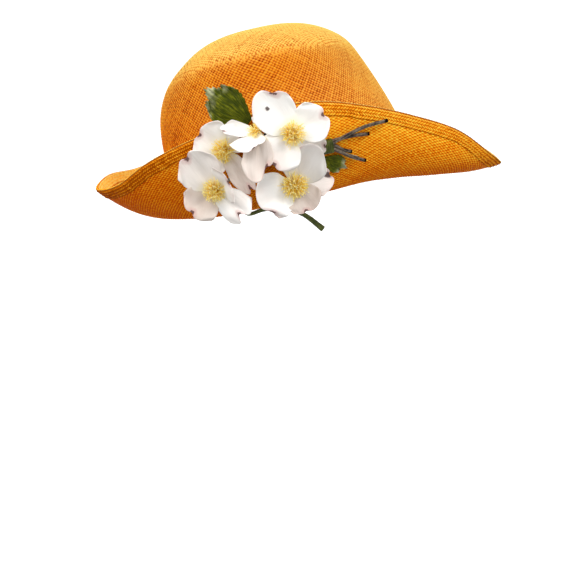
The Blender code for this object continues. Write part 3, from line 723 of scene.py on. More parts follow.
def bark_finish(name, dark, light):
    """Paper tape wound on wire."""
    finish = Finish(name, Roughness=0.5, Specular_IOR_Level=0.15)
    across, along = finish.uv()
    winding = ((along + across) * (2 * pi)).math("SINE") * 0.5 + 0.5
    grain = finish.noise(1.0, detail=4.0, stretch=(6.0, 0.35))
    patches = finish.noise(90.0)
    shade = (grain + patches * 0.5 - 0.28 + winding * 0.06).clamped()
    finish.paint(shade.ramp((0.36, dark), (0.72, light)))
    finish.bump(grain * 0.6 + winding * 0.2, 0.0003, 0.7)
    return finish.material


def floor_finish():
    finish = Finish("pale_floor", Roughness=0.9, Emission_Color=(1, 1, 1, 1), Emission_Strength=0.55)
    finish.paint(finish.mix(finish.noise(1.5), (0.92, 0.92, 0.92), (0.95, 0.95, 0.95)))
    return finish.material


# Surfaces, as grids that any number of points are read from

def read_round(values, turn):
    """A value for each column of a grid, read at any share of the way round."""
    count = len(values)
    c = (turn % 1.0) * count
    c0 = np.floor(c).astype(int) % count
    cf = c - np.floor(c)
    return values[c0] * (1 - cf) + values[(c0 + 1) % count] * cf


class Cloth:
    """A wall's face as a grid round the hat and up it, by length."""

    def __init__(self, columns, step):
        """columns are the rows of points up the face at even angles round the hat, from angle 0."""
        self.step = step
        lengths = []
        for column in columns:
            steps = np.linalg.norm(np.diff(column, axis=0), axis=1)
            lengths.append(np.concatenate([[0], np.cumsum(steps)]))
        self.tops = np.array([length[-1] for length in lengths])
        rows = np.arange(0, self.tops.max() + step, step)
        self.grid = np.array([
            np.stack([np.interp(rows, length, column[:, k]) for k in range(3)], axis=1)
            for column, length in zip(columns, lengths)
        ])
        self.lengths = lengths
        round_way = np.roll(self.grid, -1, axis=0) - np.roll(self.grid, 1, axis=0)
        up_way = np.gradient(self.grid, axis=1)
        normals = np.cross(round_way, up_way)
        size = np.linalg.norm(normals, axis=2, keepdims=True)
        self.normals = normals / np.maximum(size, 1e-12)

    def read(self, table, turn, height):
        """The table's values at shares of the way round and heights up the face, both arrays."""
        count, rows = self.grid.shape[:2]
        c = (turn % 1.0) * count
        r = np.clip(height / self.step, 0, rows - 1.001)
        c0, r0 = np.floor(c).astype(int) % count, np.floor(r).astype(int)
        cf, rf = (c - np.floor(c))[:, None], (r - r0)[:, None]
        c1 = (c0 + 1) % count
        low = table[c0, r0] * (1 - cf) + table[c1, r0] * cf
        high = table[c0, r0 + 1] * (1 - cf) + table[c1, r0 + 1] * cf
        return low * (1 - rf) + high * rf

    def points(self, turn, height, off):
        normals = self.read(self.normals, turn, height)
        normals /= np.linalg.norm(normals, axis=1, keepdims=True)
        return self.read(self.grid, turn, height) + normals * off[:, None]


# Making pieces

def piece_from(name, points, faces, material, uv=None, **attributes):
    """A smooth mesh in the hat's own axes, tilted as it is worn."""
    turn = np.array(WORN.to_3x3())
    mesh = bpy.data.meshes.new(name)
    mesh.from_pydata((np.asarray(points) @ turn.T).tolist(), [], faces)
    mesh.materials.append(material)
    for key, values in attributes.items():
        layer = mesh.attributes.new(key, "FLOAT", "POINT")
        layer.data.foreach_set("value", np.asarray(values, dtype=np.float32))
    if uv is not None:
        corners = np.empty(len(mesh.loops), np.int32)
        mesh.loops.foreach_get("vertex_index", corners)
        layer = mesh.uv_layers.new(name="face")
        layer.data.foreach_set("uv", np.asarray(uv, dtype=np.float32)[corners].ravel())
    mesh.shade_smooth()
    obj = bpy.data.objects.new(name, mesh)
    bpy.context.scene.collection.objects.link(obj)
    return obj


def stands_for(obj, slot, *nodes):
    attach(obj, "root")
    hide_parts(*nodes)


def edit_all(tool, **settings):
    """Runs one of Blender's mesh tools on the whole of the active object."""
    bpy.ops.object.mode_set(mode="EDIT")
    bpy.ops.mesh.select_all(action="SELECT")
    tool(**settings)
    bpy.ops.object.mode_set(mode="OBJECT")


def modelled(build, **settings):
    """A small shape made once with Blender's own tools, as points and faces."""
    build(**settings)
    obj = bpy.context.object
    points = np.array([tuple(v.co) for v in obj.data.vertices])
    faces = [tuple(p.vertices) for p in obj.data.polygons]
    bpy.data.objects.remove(obj)
    return points, faces


def thickened(obj):
    """A sheet given the thickness of silk."""
    bpy.context.view_layer.objects.active = obj
    modifier = obj.modifiers.new("thickness", "SOLIDIFY")
    modifier.thickness = SILK
    modifier.offset = 0
    bpy.ops.object.modifier_apply(modifier=modifier.name)
    return obj


def grid_faces(rows, columns, start=0, order=(0, 1, 2, 3)):
    """The faces between the points of a grid, which are listed row by row from start."""
    here = start + np.arange(rows * columns).reshape(rows, columns)
    corners = (here[:-1, :-1], here[:-1, 1:], here[1:, 1:], here[1:, :-1])
    return np.stack([corners[k].ravel() for k in order], axis=1).tolist()


def sheet_places(columns, rows):
    """The places of a sheet's points, row by row: across from -1 to 1 and along from 0 to 1."""
    return [(2 * a / columns - 1, b / rows) for b in range(rows + 1) for a in range(columns + 1)]


def strand_shape():
    """One strand's hump over its neighbour, modelled once: 3 by 3 points of a flat grid, raised."""
    flat, faces = modelled(bpy.ops.mesh.primitive_grid_add, x_subdivisions=2, y_subdivisions=2, size=2)
    side, end = np.abs(flat[:, 0]), np.abs(flat[:, 1])
    height = 1 - 0.85 * side - 1.45 * end + 0.35 * side * end
    crest = np.clip(1 - 0.5 * side - 0.8 * end, 0, 1)
    return flat, faces, height, crest


STRAND = strand_shape()


def woven(name, material, cells, surface, facing=1, size=(0.47, 0.7), fullness=STRAND_FULLNESS):
    """Copies of the strand's hump. cells has rows of place, width way and length way on the surface's own
    two numbers, a lift and a tone. surface turns those numbers into points. facing is -1 on a wall's
    inner face. size is half a strand's width and length, as shares of its ways."""
    flat, faces, height, crest = STRAND
    count, corners = len(cells), len(flat)
    place, width, length, lift, tone = np.split(cells, (2, 4, 6, 7), axis=1)
    hand = np.sign(width[:, :1] * length[:, 1:] - width[:, 1:] * length[:, :1]) * facing
    wide, long = flat[:, 0] * size[0] * hand, flat[:, 1] * size[1]
    a, b = (place[:, [k]] + wide * width[:, [k]] + long * length[:, [k]] for k in (0, 1))
    off = (lift + height * fullness) * facing
    points = surface(a.ravel(), b.ravel(), off.ravel())
    every = (np.arange(count)[:, None, None] * corners + np.array(faces)).reshape(-1, 4).tolist()
    uv = np.tile(flat[:, :2] * 0.5 + 0.5, (count, 1)) + np.repeat(tone * 7.0, corners, axis=0)
    crests, tones = np.tile(crest, count), np.repeat(tone, corners)
    return piece_from(name, points, every, material, uv, crest=crests, tone=tones)


def shell(name, materials, outer, inner, repeats, pole=False):
    """A closed thin wall between two grids of points round the hat, with a finish for its outer face and
    one for the rest. repeats is how often its map runs round and up. pole closes its last rows to a
    point each instead of joining them."""
    outer, inner = (np.concatenate([grid, grid[:1]]) for grid in (outer, inner))
    count, rows = outer.shape[:2]
    size, top = count * rows, rows - 1
    points = np.concatenate([outer.reshape(-1, 3), inner.reshape(-1, 3)])
    faces = grid_faces(count, rows, 0, OUTWARD) + grid_faces(count, rows, size, INWARD)
    for low in range(0, size - rows, rows):
        high = low + rows
        faces.append((size + low, size + high, high, low))
        if pole:
            faces.append((low + top, high + top, 2 * size))
            faces.append((size + high + top, size + low + top, 2 * size + 1))
        else:
            faces.append((low + top, high + top, size + high + top, size + low + top))
    turn = np.repeat(np.arange(count) / (count - 1) * repeats[0], rows)
    rise = np.tile(np.arange(rows) / top * repeats[1], count)
    uv = np.tile(np.stack([turn, rise], axis=1), (2, 1))
    if pole:
        points = np.concatenate([points, [outer[:, -1].mean(axis=0), inner[:, -1].mean(axis=0)]])
        uv = np.concatenate([uv, [[0, repeats[1]]] * 2])
    obj = piece_from(name, points, faces, materials[0], uv)
    obj.data.materials.append(materials[1])
    for polygon in obj.data.polygons:
        polygon.material_index = int(any(size <= corner != 2 * size for corner in polygon.vertices))
    bpy.context.view_layer.objects.active = obj
    edit_all(bpy.ops.mesh.remove_doubles, threshold=1e-6)
    obj.select_set(False)
    return obj


# The camera and the light

def lit_stage():
    scene = bpy.context.scene
    scene.view_settings.view_transform = "Standard"
    data = bpy.data.cameras.new("camera")
    data.lens = CAMERA_LENS
    data.sensor_width = 36
    scene.camera = bpy.data.objects.new("camera", data)
    scene.camera.location = CAMERA_PLACE
    scene.camera.rotation_euler = (radians(90 - CAMERA_DOWN), 0, 0)
    scene.collection.objects.link(scene.camera)
    scene.world = bpy.data.worlds.new("studio")
    scene.world.use_nodes = True
    nodes, links = scene.world.node_tree.nodes, scene.world.node_tree.links
    way = nodes.new("ShaderNodeTexCoord")
    split = nodes.new("ShaderNodeSeparateXYZ")
    light = nodes.new("ShaderNodeMapRange")
    for socket, value in SKY.items():
        light.inputs[socket].default_value = value
    links.new(way.outputs["Generated"], split.inputs[0])
    links.new(split.outputs["Z"], light.inputs["Value"])
    links.new(light.outputs[0], nodes["Background"].inputs["Strength"])
    nodes["Background"].inputs["Color"].default_value = (1.0, 1.0, 1.0, 1)
    for name, place, aim, size, power in LAMPS:
        lamp = bpy.data.lights.new(name, "AREA")
        lamp.shape = "SQUARE"
        lamp.size = size
        lamp.energy = power
        obj = bpy.data.objects.new(name, lamp)
        obj.location = place
        obj.rotation_euler = (Vector(aim) - Vector(place)).to_track_quat("-Z", "Y").to_euler()
        scene.collection.objects.link(obj)
    bpy.ops.mesh.primitive_plane_add(size=60, location=(0, 0, FLOOR_HEIGHT))
    floor = bpy.context.object
    floor.name = "floor"
    floor.data.materials.append(floor_finish())
    floor.visible_diffuse = False
    bpy.ops.object.transform_apply(location=True, rotation=True, scale=True)
    bpy.ops.object.select_all(action="DESELECT")


lit_stage()


# The crown: its wall is one bias cloth wound round it, and its tip another

straw = straw_finish("orange_straw", STRAW_COLOURS, backward=0.35)
straw_lining = lining_finish()
# Darker than the straw, as painted shade in the holes between the strands
straw_gap_shade = gap_finish("orange_straw_gap_shade", (0.33, 0.042, 0.0))


def columns_of(curve, shares, count=ROUND_STEPS):
    """Points up the wall at even angles round the hat."""
    return np.array([[tuple(curve(360 * i / count, share)) for share in shares] for i in range(count)])


def lattice(first, second):
    """Every pair of the two ranges' numbers, as two long arrays."""
    return [grid.ravel() for grid in np.meshgrid(first, second, indexing="ij")]


def cell_rows(place, over, way_u, way_v, strand, lift=0.0):
    """The numbers that woven() takes, with each strand's own tone and a little play. Where over is true
    the strand on top runs along way_v."""
    over = over[:, None]
    width, length = np.where(over, way_u, way_v), np.where(over, way_v, way_u)
    # A number from 0 to 1 that stays the same all along a strand
    own = np.sin(strand * 12.9898) * 43758.5453 % 1
    tone = 0.6 * own + 0.4 * rng.random(len(strand))
    play = rng.normal(0, STRAND_PLAY, (len(strand), 2))
    place = place + play[:, :1] * width + play[:, 1:] * length
    lifts = lift + rng.normal(0, LIFT_PLAY, len(strand))
    return np.column_stack([place, width, length, lifts, tone])


def softened(grid, rounds):
    """The grid with its creases rounded off. Its first and last rows stay."""
    grid = grid.copy()
    for _ in range(rounds):
        grid = (np.roll(grid, 1, axis=0) + 2 * grid + np.roll(grid, -1, axis=0)) / 4
        grid[:, 1:-1] = (grid[:, :-2] + 2 * grid[:, 1:-1] + grid[:, 2:]) / 4
    return grid


crown_levels = np.concatenate([np.linspace(0, 1, WALL_STEPS + 1), np.linspace(1, 1.98, 36)[1:]])
crown_grid = softened(columns_of(crown_point, crown_levels), SHOULDER_SOFTNESS)
crown_cloth = Cloth(crown_grid, CLOTH_STEP)
shoulder_length = np.array([length[WALL_STEPS] for length in crown_cloth.lengths])


def wall_cells(across, along):
    """Where the two families of strands cross on the wall: across of one and along of the other meet the
    headline."""
    rise_u, rise_v = cos(LEAN) / WALL_PITCH_DOWN, sin(LEAN) / WALL_PITCH_UP
    tall = shoulder_length.max() + STRAND_PITCH
    lowest = -ceil(tall * rise_v)
    u, v = lattice(np.arange(0, across + tall * rise_u + 1), np.arange(lowest, along + 1))
    # u is across * turn + rise_u * height, and v is along * turn - rise_v * height
    share = across * rise_v + along * rise_u
    turn, height = (u * rise_v + v * rise_u) / share, (u * along - v * across) / share
    held = (height > WALL_FOOT) & (height < read_round(shoulder_length, turn) + WALL_LAP)
    held &= (turn >= 0) & (turn < 1 - 1e-9)
    u, v, place = u[held], v[held], np.stack([turn, height], axis=1)[held]
    over = (u + v) % 2 == 0
    strand = np.where(over, u % across, v % along + across)
    way_u, way_v = np.array([rise_v, along]) / share, np.array([rise_u, -across]) / share
    return cell_rows(place, over, way_u, way_v, strand)


strands_down = 2 * round(CROWN_ROUND * sin(LEAN) / WALL_PITCH_DOWN / 2)
strands_up = 2 * round(CROWN_ROUND * cos(LEAN) / WALL_PITCH_UP / 2)
crown_weave = woven("crown_weave", straw, wall_cells(strands_down, strands_up), crown_cloth.points)


def tree_of(grid):
    """The grid as something that rays can be cast at, closed at its last row."""
    middle = tuple(grid[:, -1].mean(axis=0))
    grid = np.concatenate([grid, grid[:1]])
    count, rows = grid.shape[:2]
    faces = grid_faces(count, rows, 0, OUTWARD)
    ends = range(rows - 1, (count - 1) * rows, rows)
    faces += [(end, end + rows, count * rows) for end in ends]
    return BVHTree.FromPolygons([*map(tuple, grid.reshape(-1, 3)), middle], faces)


tip_tree = tree_of(crown_grid[:, WALL_STEPS - 4 :])


def tip_points(x, y, off):
    """Points off the tip, found straight below level ones."""
    found = [tip_tree.ray_cast(Vector((a, b, 1)), Vector((0, 0, -1))) for a, b in zip(x, y)]
    points, normals = (np.array([tuple(hit[k]) for hit in found]) for k in (0, 1))
    return points + normals * off[:, None]


def tip_inward(x, y):
    """How far in from the rim a level point lies, as a share of the way to the middle."""
    ends = np.where(x > 0, TIP_FRONT, TIP_BACK)
    away = np.abs(x / ends) ** TIP_SQUARENESS + np.abs(y / TIP_HALF_WIDTH) ** TIP_SQUARENESS
    return 1 - away ** (1 / TIP_SQUARENESS)


def tip_cells(pitch):
    """A square lattice on the tip, leaning as the wall's does on the side that the picture shows."""
    reach = ceil(2 * TIP_BACK / pitch)
    u, v = lattice(*[np.arange(-reach, reach + 1)] * 2)
    way_u, way_v = np.array([sin(LEAN), cos(LEAN)]), np.array([cos(LEAN), -sin(LEAN)])
    place = (u[:, None] * way_u + v[:, None] * way_v) * pitch
    held = tip_inward(place[:, 0], place[:, 1]) > TIP_EDGE
    u, v, place = u[held], v[held], place[held]
    over = (u + v) % 2 == 0
    strand = np.where(over, u, v + 2 * reach)
    return cell_rows(place, over, way_u * pitch, way_v * pitch, strand)


tip_weave = woven("tip_weave", straw, tip_cells(TIP_PITCH), tip_points)


def off_grid(grid, *depths):
    """The grid moved along its own normals, once for each depth."""
    normal = np.cross(np.roll(grid, -1, axis=0) - np.roll(grid, 1, axis=0), np.gradient(grid, axis=1))
    normal /= np.linalg.norm(normal, axis=2, keepdims=True)
    return [grid + normal * depth for depth in depths]


outer, inner = off_grid(crown_grid[:, ::2], -BACKING_DEPTH, -STRAW)
inner[:, 0, 2] = outer[:, 0, 2] = -STRAW / 2
crown_backing = shell("crown_backing", (straw_gap_shade, straw_lining), outer, inner, (260, 84), pole=True)
for piece in (crown_backing, crown_weave, tip_weave):
    stands_for(piece, "orange_straw", "crown")


# The brim: strands that wind outwards from the headline both ways

brim_straw = straw_finish("orange_brim_straw", BRIM_COLOURS, light_gain=0.42, unevenness=0.28, backward=-0.65)
# Darker than the straw, as painted shade in the holes between the strands
brim_gap_shade = gap_finish("orange_brim_gap_shade", (0.68, 0.115, 0.0))
upper_straw = straw_finish("orange_upper_straw", UPPER_COLOURS, light_gain=0.2, unevenness=0.32)
upper_gap_shade = gap_finish("orange_upper_gap_shade", (0.42, 0.070, 0.0))


def braid_share(angle):
    """The share at which the edge braid begins, its width in from the edge along the brim."""
    share, length, step = 1.0, 0.0, 0.01
    point = brim_curve(angle, 1.0)
    while length < BRAID_WIDTH:
        share -= step
        further = brim_curve(angle, share)
        length += (further - point).length
        point = further
    return share


starts = [braid_share(360 * i / ROUND_STEPS) for i in range(ROUND_STEPS)]


def brim_to_braid(angle, run):
    start = starts[round(angle / 360 * ROUND_STEPS) % ROUND_STEPS]
    return brim_curve(angle, run * min(1, start + UNDER_BRAID))


brim_cloth = Cloth(columns_of(brim_to_braid, np.linspace(0, 1, 50)), CLOTH_STEP)


def brim_cells():
    """Where the strands that wind outwards one way cross those that wind the other way. The rows of
    crossings are set so that the strands keep an even pitch while the way round grows."""
    step = 0.0005
    lengths = np.arange(0, brim_cloth.tops.max(), step)
    leaning = WINDING_STRANDS / (BRIM_ROUND + BRIM_SPREAD * lengths)
    rising = np.sqrt(1 / BRIM_PITCH**2 - leaning**2)
    risen = np.cumsum(rising) * step
    spoke, row = lattice(np.arange(WINDING_STRANDS), np.arange(1, int(2 * risen[-1])))
    turn, length = (spoke + 0.5 * (row % 2)) / WINDING_STRANDS, np.interp(row / 2, risen, lengths)
    held = length < read_round(brim_cloth.tops, turn) - step
    spoke, row, turn, length = spoke[held], row[held], turn[held], length[held]
    half_turn = np.full(len(row), 0.5 / WINDING_STRANDS)
    half_rise = 0.5 / np.interp(length, lengths, rising)
    over = row % 2 == 0
    # A strand's number is the same all along it
    winding_in = (spoke + (row + row % 2) // 2) % WINDING_STRANDS
    winding_out = (spoke - (row - row % 2) // 2) % WINDING_STRANDS + WINDING_STRANDS
    way_out, way_in = np.column_stack([half_turn, half_rise]), np.column_stack([half_turn, -half_rise])
    strand = np.where(over, winding_in, winding_out)
    return cell_rows(np.column_stack([turn, length]), over, way_out, way_in, strand, STRAW / 2)


brim_lattice = brim_cells()
for name, finish, facing in (
    ("brim_weave_under", brim_straw, 1),
    ("brim_weave_upper", upper_straw, -1),
):
    piece = woven(name, finish, brim_lattice, brim_cloth.points, facing, (0.45, 0.82))
    stands_for(piece, "orange_straw", "brim")

middle = columns_of(brim_curve, np.linspace(-0.02, 1, 31), BACKING_COLUMNS)
under, upper = off_grid(middle, STRAW / 2 - BACKING_DEPTH, BACKING_DEPTH - STRAW / 2)
brim_backing = shell("brim_backing", (brim_gap_shade, upper_gap_shade), under, upper, (320, 44))
stands_for(brim_backing, "orange_straw", "brim")


# The edge braid: slanting rows over both faces, and a thread bound along the lip

braid = straw_finish("edge_braid_straw", BRAID_COLOURS, light_gain=0.4, backward=-0.9)
# Darker than the braid's straw, as painted shade between its strands and rows
braid_gap_shade = gap_finish("edge_braid_gap_shade", (0.48, 0.105, 0.001))
braid_ledge = gap_finish("edge_braid_ledge", (0.98, 0.36, 0.006))
rim_thread = gap_finish("edge_thread", (0.26, 0.10, 0.02))


def braid_column(i, count, off):
    """Points from the braid's edge on the under face, over the lip and back on the upper face."""
    angle = 360 * i / count
    start = starts[round(i / count * ROUND_STEPS) % ROUND_STEPS]
    under, lip, upper = [], [], []
    for share in np.linspace(start, 1, 8):
        point, _, up, out = brim_frame(angle, share)
        under.append(point + out * off)
        upper.append(point - out * off)
    for k in range(1, LIP_STEPS):
        turn = pi * k / LIP_STEPS
        lip.append(point + out * off * cos(turn) + up * off * 0.8 * sin(turn))
    return [tuple(p) for p in (*under, *lip, *reversed(upper))]


def braid_grid(count, off):
    return np.array([braid_column(i, count, off) for i in range(count)])


braid_cloth = Cloth(braid_grid(ROUND_STEPS, BRAID_FACE), BRAID_STEP)


def braid_points(turn, run, off):
    """Points off the braid's face, at a run of 0 and 1 at its two edges."""
    return braid_cloth.points(turn, np.clip(run, 0, 1) * read_round(braid_cloth.tops, turn), off)


def braid_cells(columns, rows, lift):
    found = []
    for number, row in enumerate(rows):
        i = np.arange(columns)
        place = np.stack([(i + 0.5 * (number % 2)) / columns, np.full(columns, row.middle)], axis=1)
        width, length = np.array([1 / columns, 0]), np.array([row.slant / columns, row.half * 1.25])
        found.append(cell_rows(place, np.ones(columns, bool), width, length, i + 1000.0 * number, lift))
    return np.concatenate(found)


for name, finish, columns, rows, lift, size, fullness in (
    ("braid_strands", braid, BRAID_COLUMNS, BRAID_ROWS, 0.0, (0.43, 1.0), 0.0005),
    ("braid_strands_inner", braid, BRAID_COLUMNS, INNER_ROWS, 0.0, (0.48, 1.0), 0.0002),
    ("edge_thread", rim_thread, THREAD_COLUMNS, THREAD_ROWS, 0.0003, (0.5, 1.3), 0.0003),
):
    cells = braid_cells(columns, rows, lift)
    piece = woven(name, finish, cells, braid_points, size=size, fullness=fullness)
    stands_for(piece, "edge_braid_straw", "edge_braid")
outer = braid_grid(BACKING_COLUMNS, BRAID_FACE - BRAID_BACKING_DEPTH)
inner = braid_grid(BACKING_COLUMNS, STRAW / 2 + CLEARANCE)
braid_backing = shell("braid_backing", (braid_gap_shade, braid_ledge), outer, inner, (BRAID_COLUMNS, 7))
stands_for(braid_backing, "edge_braid_straw", "edge_braid")


# The flowers

silk = silk_finish()
pollen = stamen_finish()


def corolla(flower):
    """Four thin silk bracts, each a grid shaped by its own row, with waves, a crease and a notched end."""
    place = flower_place(flower)
    points, faces, uv, tint, spotted = [], [], [], [], []
    rows = sorted(petal for petal in PETALS if petal.flower == flower.name)
    for number, petal in enumerate(rows):
        faces += grid_faces(PETAL_ROWS + 1, PETAL_COLUMNS + 1, len(points), OUTWARD)
        turned = Matrix.Rotation(radians(petal.direction), 3, "Z")
        phase = radians(petal.direction * 3 + 40 * int(flower.name))
        spots = [s for s in SPOTS if (s.flower, s.direction) == (flower.name, petal.direction)]
        for across, along in sheet_places(PETAL_COLUMNS, PETAL_ROWS):
            point = petal_point(petal, along, across)
            wave = sin(4.2 * across + phase) * 0.6 + sin(7.5 * along + 3.1 * across + phase)
            wave += 0.5 * sin(11 * along * across + 2 * phase) * abs(across)
            point.z += PETAL_WAVE * petal.ruffle * wave * along**2 * (0.25 + abs(across) ** 1.5)
            crease = exp(-(((across - 0.3 * petal.notch) / 0.3) ** 2)) * sin(pi * along**0.8)
            point.z -= PETAL_FOLD * petal.fold * crease
            point.z += SILK * (1.3 * (number % 2) + 0.2)
            points.append(tuple(place @ (turned @ point)))
            uv.append((across - petal.notch, along))
            tint.append(petal.tint)
            away = [hypot((across - s.across) * 0.5, along - s.along) / s.size for s in spots]
            spotted.append(max(0, 1 - min(away, default=1)))
    obj = piece_from(f"corolla_{flower.name}", points, faces, silk, uv, tint=tint, spot=spotted)
    return thickened(obj)


def filament():
    """A thread one metre tall, a little thicker at its foot, scaled to its size where it is copied."""
    bpy.ops.mesh.primitive_cylinder_add(vertices=5, radius=1, depth=1, location=(0, 0, 0.5))
    bpy.ops.object.transform_apply(location=True)
    edit_all(bpy.ops.mesh.bisect, plane_co=(0, 0, 0.5), plane_no=(0, 0, 1))
    for vertex in bpy.context.object.data.vertices:
        if abs(vertex.co.z - 0.5) < 0.01:
            vertex.co.x *= 0.7
            vertex.co.y *= 0.7


def anther():
    bpy.ops.mesh.primitive_uv_sphere_add(segments=6, ring_count=4, radius=1)
    for vertex in bpy.context.object.data.vertices:
        vertex.co.z *= 1.5
        vertex.co.x *= 1 - 0.25 * abs(vertex.co.y)


FILAMENT, ANTHER = modelled(filament), modelled(anther)


def scattered(parts):
    """Points, faces, crest and tone of many copies. parts has rows of shape, matrix, crests and tone."""
    points, faces, crest, tone = [], [], [], []
    for (shape, shape_faces), matrix, (low, high), own in parts:
        start = len(points)
        moved = shape @ np.array(matrix.to_3x3()).T + np.array(matrix.translation)
        points.extend(moved.tolist())
        faces.extend(tuple(start + corner for corner in face) for face in shape_faces)
        rise = (shape[:, 2] - shape[:, 2].min()) / np.ptp(shape[:, 2])
        crest.extend(low + (high - low) * rise)
        tone.extend([own] * len(shape))
    return points, faces, crest, tone


def spoke_of(turn, away, height):
    return Vector((cos(turn) * away, sin(turn) * away, height))


def stamen_cluster(flower):
    """Fine threads with a grain of pollen on each, spreading from a small button."""
    place = flower_place(flower)
    reach = STAMEN_RADIUS * flower.tuft * 0.94
    parts = []
    count = round(STAMENS * flower.tuft**2)
    for k in range(count):
        share = sqrt((k + 0.5) / count)
        turn = k * GOLDEN_TURN + rng.normal(0, 0.25)
        lean = STAMEN_LEAN * share + rng.normal(0, 0.16)
        tall = reach * (0.56 + 0.44 * share + rng.normal(0, 0.13))
        foot = spoke_of(turn, FILAMENT_FOOT * share, 2.5 * SILK)
        aim = spoke_of(turn, sin(lean), cos(lean))
        turned = aim.to_track_quat("Z", "Y").to_matrix().to_4x4()
        own = rng.random()
        thread = Matrix.Diagonal((FILAMENT_RADIUS, FILAMENT_RADIUS, tall, 1))
        parts.append((FILAMENT, place @ Matrix.Translation(foot) @ turned @ thread, (0.05, 0.75), own))
        end = Matrix.Translation(foot + aim * tall) @ turned @ Matrix.Rotation(own * 6, 4, "X")
        grain = Matrix.Scale(POLLEN_RADIUS * (0.7 + 0.9 * own), 4)
        parts.append((ANTHER, place @ end @ grain, (0.75, 1.0), own))
    for k in range(BUTTON_GRAINS):
        share = sqrt((k + 0.5) / BUTTON_GRAINS)
        foot = spoke_of(k * GOLDEN_TURN, BUTTON_RADIUS * share, BUTTON_HEIGHT - BUTTON_DOME * share**2)
        grain = Matrix.Translation(foot) @ Matrix.Scale(BUTTON_GRAIN_RADIUS, 4)
        parts.append((ANTHER, place @ grain, (0.2, 0.5), 0.3))
    points, faces, crest, tone = scattered(parts)
    return piece_from(f"stamen_cluster_{flower.name}", points, faces, pollen, crest=crest, tone=tone)


for flower in FLOWERS:
    stands_for(corolla(flower), "white_silk", f"flower_{flower.name}")
    stands_for(stamen_cluster(flower), "stamen_yellow", f"stamens_{flower.name}")


# Leaves, twigs and the stem

leaf_green = leaf_finish()
bark = bark_finish("twig_grey", (0.010, 0.006, 0.004), (0.22, 0.175, 0.13))
pale_bark = bark_finish("twig_grey_pale", (0.035, 0.027, 0.018), (0.46, 0.41, 0.31))
cut_end = gap_finish("twig_cut_end", (0.006, 0.003, 0.003))
stem_green = bark_finish("stem_green", (0.026, 0.036, 0.004), (0.10, 0.115, 0.02))


def leaf_piece(leaf):
    """A fan pleated along its ribs, with a toothed edge."""
    _, front, up, out = brim_frame(leaf.angle, leaf.share)
    base = off_brim(leaf.angle, leaf.share, leaf.stand_off * TWIG_DIAMETER)
    axes = Matrix((front, up, out)).transposed()
    for axis, degrees in (("Z", leaf.direction), ("Y", -leaf.lift), ("X", leaf.turn)):
        axes = axes @ Matrix.Rotation(radians(degrees), 3, axis)
    points, uv, crest = [], [], []
    for across, along in sheet_places(LEAF_COLUMNS, LEAF_ROWS):
        spread = sin(pi * (0.06 + 0.64 * along))
        tooth, side_tooth = (abs((way * leaf.teeth / 2) % 1 - 0.5) * 2 for way in (across, along))
        end = along * (1 - LEAF_ROUNDING * across**2 * along + 0.08 * (tooth - 0.5) * along**6)
        end *= 1 + 0.07 * cos(7.5 * across + 0.4) * along**3
        half = leaf.width * spread * (1 - 0.08 * side_tooth * abs(across) ** 8)
        rib = abs(sin(pi * leaf.ribs * (across + 0.12 * sin(4 * across) + 1) / 2))
        height = 0.05 * abs(across) * spread + 0.05 * sin(pi * along)
        height += 0.03 * rib**0.7 * along + 0.07 * along**2 * sin(5 * across + 1)
        points.append(tuple(base + axes @ Vector((end, half * across, height)) * leaf.length))
        uv.append(((across + 1) / 2, along))
        crest.append(rib)
    faces = grid_faces(LEAF_ROWS + 1, LEAF_COLUMNS + 1, order=INWARD)
    return thickened(piece_from(f"ribbed_{leaf.name}", points, faces, leaf_green, uv, crest=crest))


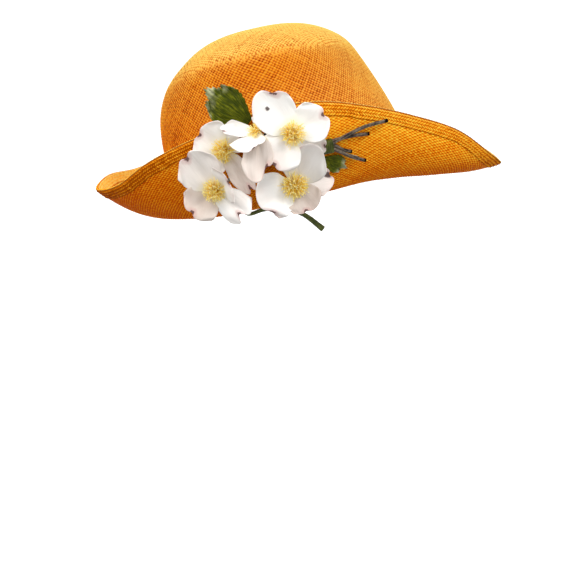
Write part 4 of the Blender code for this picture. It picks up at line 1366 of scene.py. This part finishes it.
def tube(name, route, diameter, material, widths=None, end=None):
    """A round stem along a smooth route, with closed ends. end is the finish of its far one."""
    points, uv = [], []
    widths = widths or [1.0] * len(route)
    line = smooth_route(route, STEM_STEPS)
    last, row = len(line) - 1, STEM_SIDES + 1
    side = Vector((0, 0, 1))
    length = 0.0
    for k, point in enumerate(line):
        ahead = (line[min(k + 1, last)] - line[max(k - 1, 0)]).normalized()
        side = (side - ahead * side.dot(ahead)).normalized()
        other = ahead.cross(side)
        length += (point - line[max(k - 1, 0)]).length
        mark = k / STEM_STEPS
        index = min(int(mark), len(widths) - 2)
        width = widths[index] + (widths[index + 1] - widths[index]) * (mark - index)
        knot = 1 - KNOT_DEPTH + KNOT_DEPTH * sin(length * 900) * sin(length * 310)
        radius = diameter / 2 * width * knot
        for i in range(row):
            turn = 2 * pi * i / STEM_SIDES
            points.append(tuple(point + (side * cos(turn) + other * sin(turn)) * radius))
            uv.append((i / STEM_SIDES, length / diameter))
    faces = grid_faces(len(line), row)
    for k in (0, last):
        ring = [len(points) + i for i in range(STEM_SIDES)]
        points.extend(points[k * row : k * row + STEM_SIDES])
        uv.extend([(0.5, 0.5)] * STEM_SIDES)
        faces.append(ring[::-1] if k == 0 else ring)
    obj = piece_from(name, points, faces, material, uv)
    if end:
        obj.data.materials.append(end)
        near_end = len(faces) - 2
        for polygon in obj.data.polygons[near_end - STEM_SIDES :]:
            polygon.material_index = int(polygon.index != near_end)
    obj.data.set_sharp_from_angle(angle=radians(50))
    return obj


for twig in TWIGS:
    finish = pale_bark if twig.flower == "3" else bark
    route, diameter = twig_route(twig), TWIG_DIAMETER * BARK_FULLNESS
    piece = tube(f"bark_{twig.flower}", route, diameter, finish, end=cut_end)
    stands_for(piece, "twig_grey", f"twig_{twig.flower}")
for leaf in LEAVES:
    stands_for(leaf_piece(leaf), "leaf_green", leaf.name)
route, widths = green_stem_route()
loose_stem = tube("loose_stem", route, GREEN_STEM_DIAMETER, stem_green, widths)
stands_for(loose_stem, "stem_green", "green_stem")


def tape_winding():
    """Floral tape wound round the bundle, as overlapping turns of a flat sleeve."""
    centre = tie_place(0, 0.5)
    _, front, up, out = brim_frame(TIE_ANGLE, TIE_SHARE)
    half_up = BUNDLE_PITCH + TWIG_DIAMETER / 2 + CLEARANCE
    half_out = BUNDLE_PITCH / 2 + TWIG_DIAMETER / 2 + CLEARANCE
    points, uv = [], []
    rows, row = TAPE_TURNS * TAPE_ROWS + 1, TAPE_SIDES + 1
    for wall in (TIE_WALL, 0.0):
        for k in range(rows):
            along = k / (rows - 1) - 0.5
            extra = wall * (0.62 + 0.38 * (k % TAPE_ROWS) / TAPE_ROWS)
            for i in range(row):
                turn = 2 * pi * i / TAPE_SIDES
                c, s = cos(turn), sin(turn)
                u = copysign(abs(c) ** 0.6, c) * (half_up + extra)
                o = copysign(abs(s) ** 0.6, s) * (half_out + extra)
                points.append(tuple(centre + up * u + out * o + front * TIE_LENGTH * along))
                uv.append((i / TAPE_SIDES, k / TAPE_ROWS))
    size, last = rows * row, (rows - 1) * row
    faces = grid_faces(rows, row, 0, OUTWARD) + grid_faces(rows, row, size)
    for i in range(TAPE_SIDES):
        faces.append((i, i + 1, size + i + 1, size + i))
        faces.append((last + i, size + last + i, size + last + i + 1, last + i + 1))
    return piece_from("tape_winding", points, faces, stem_green, uv)


stands_for(tape_winding(), "stem_green", "stem_tie")
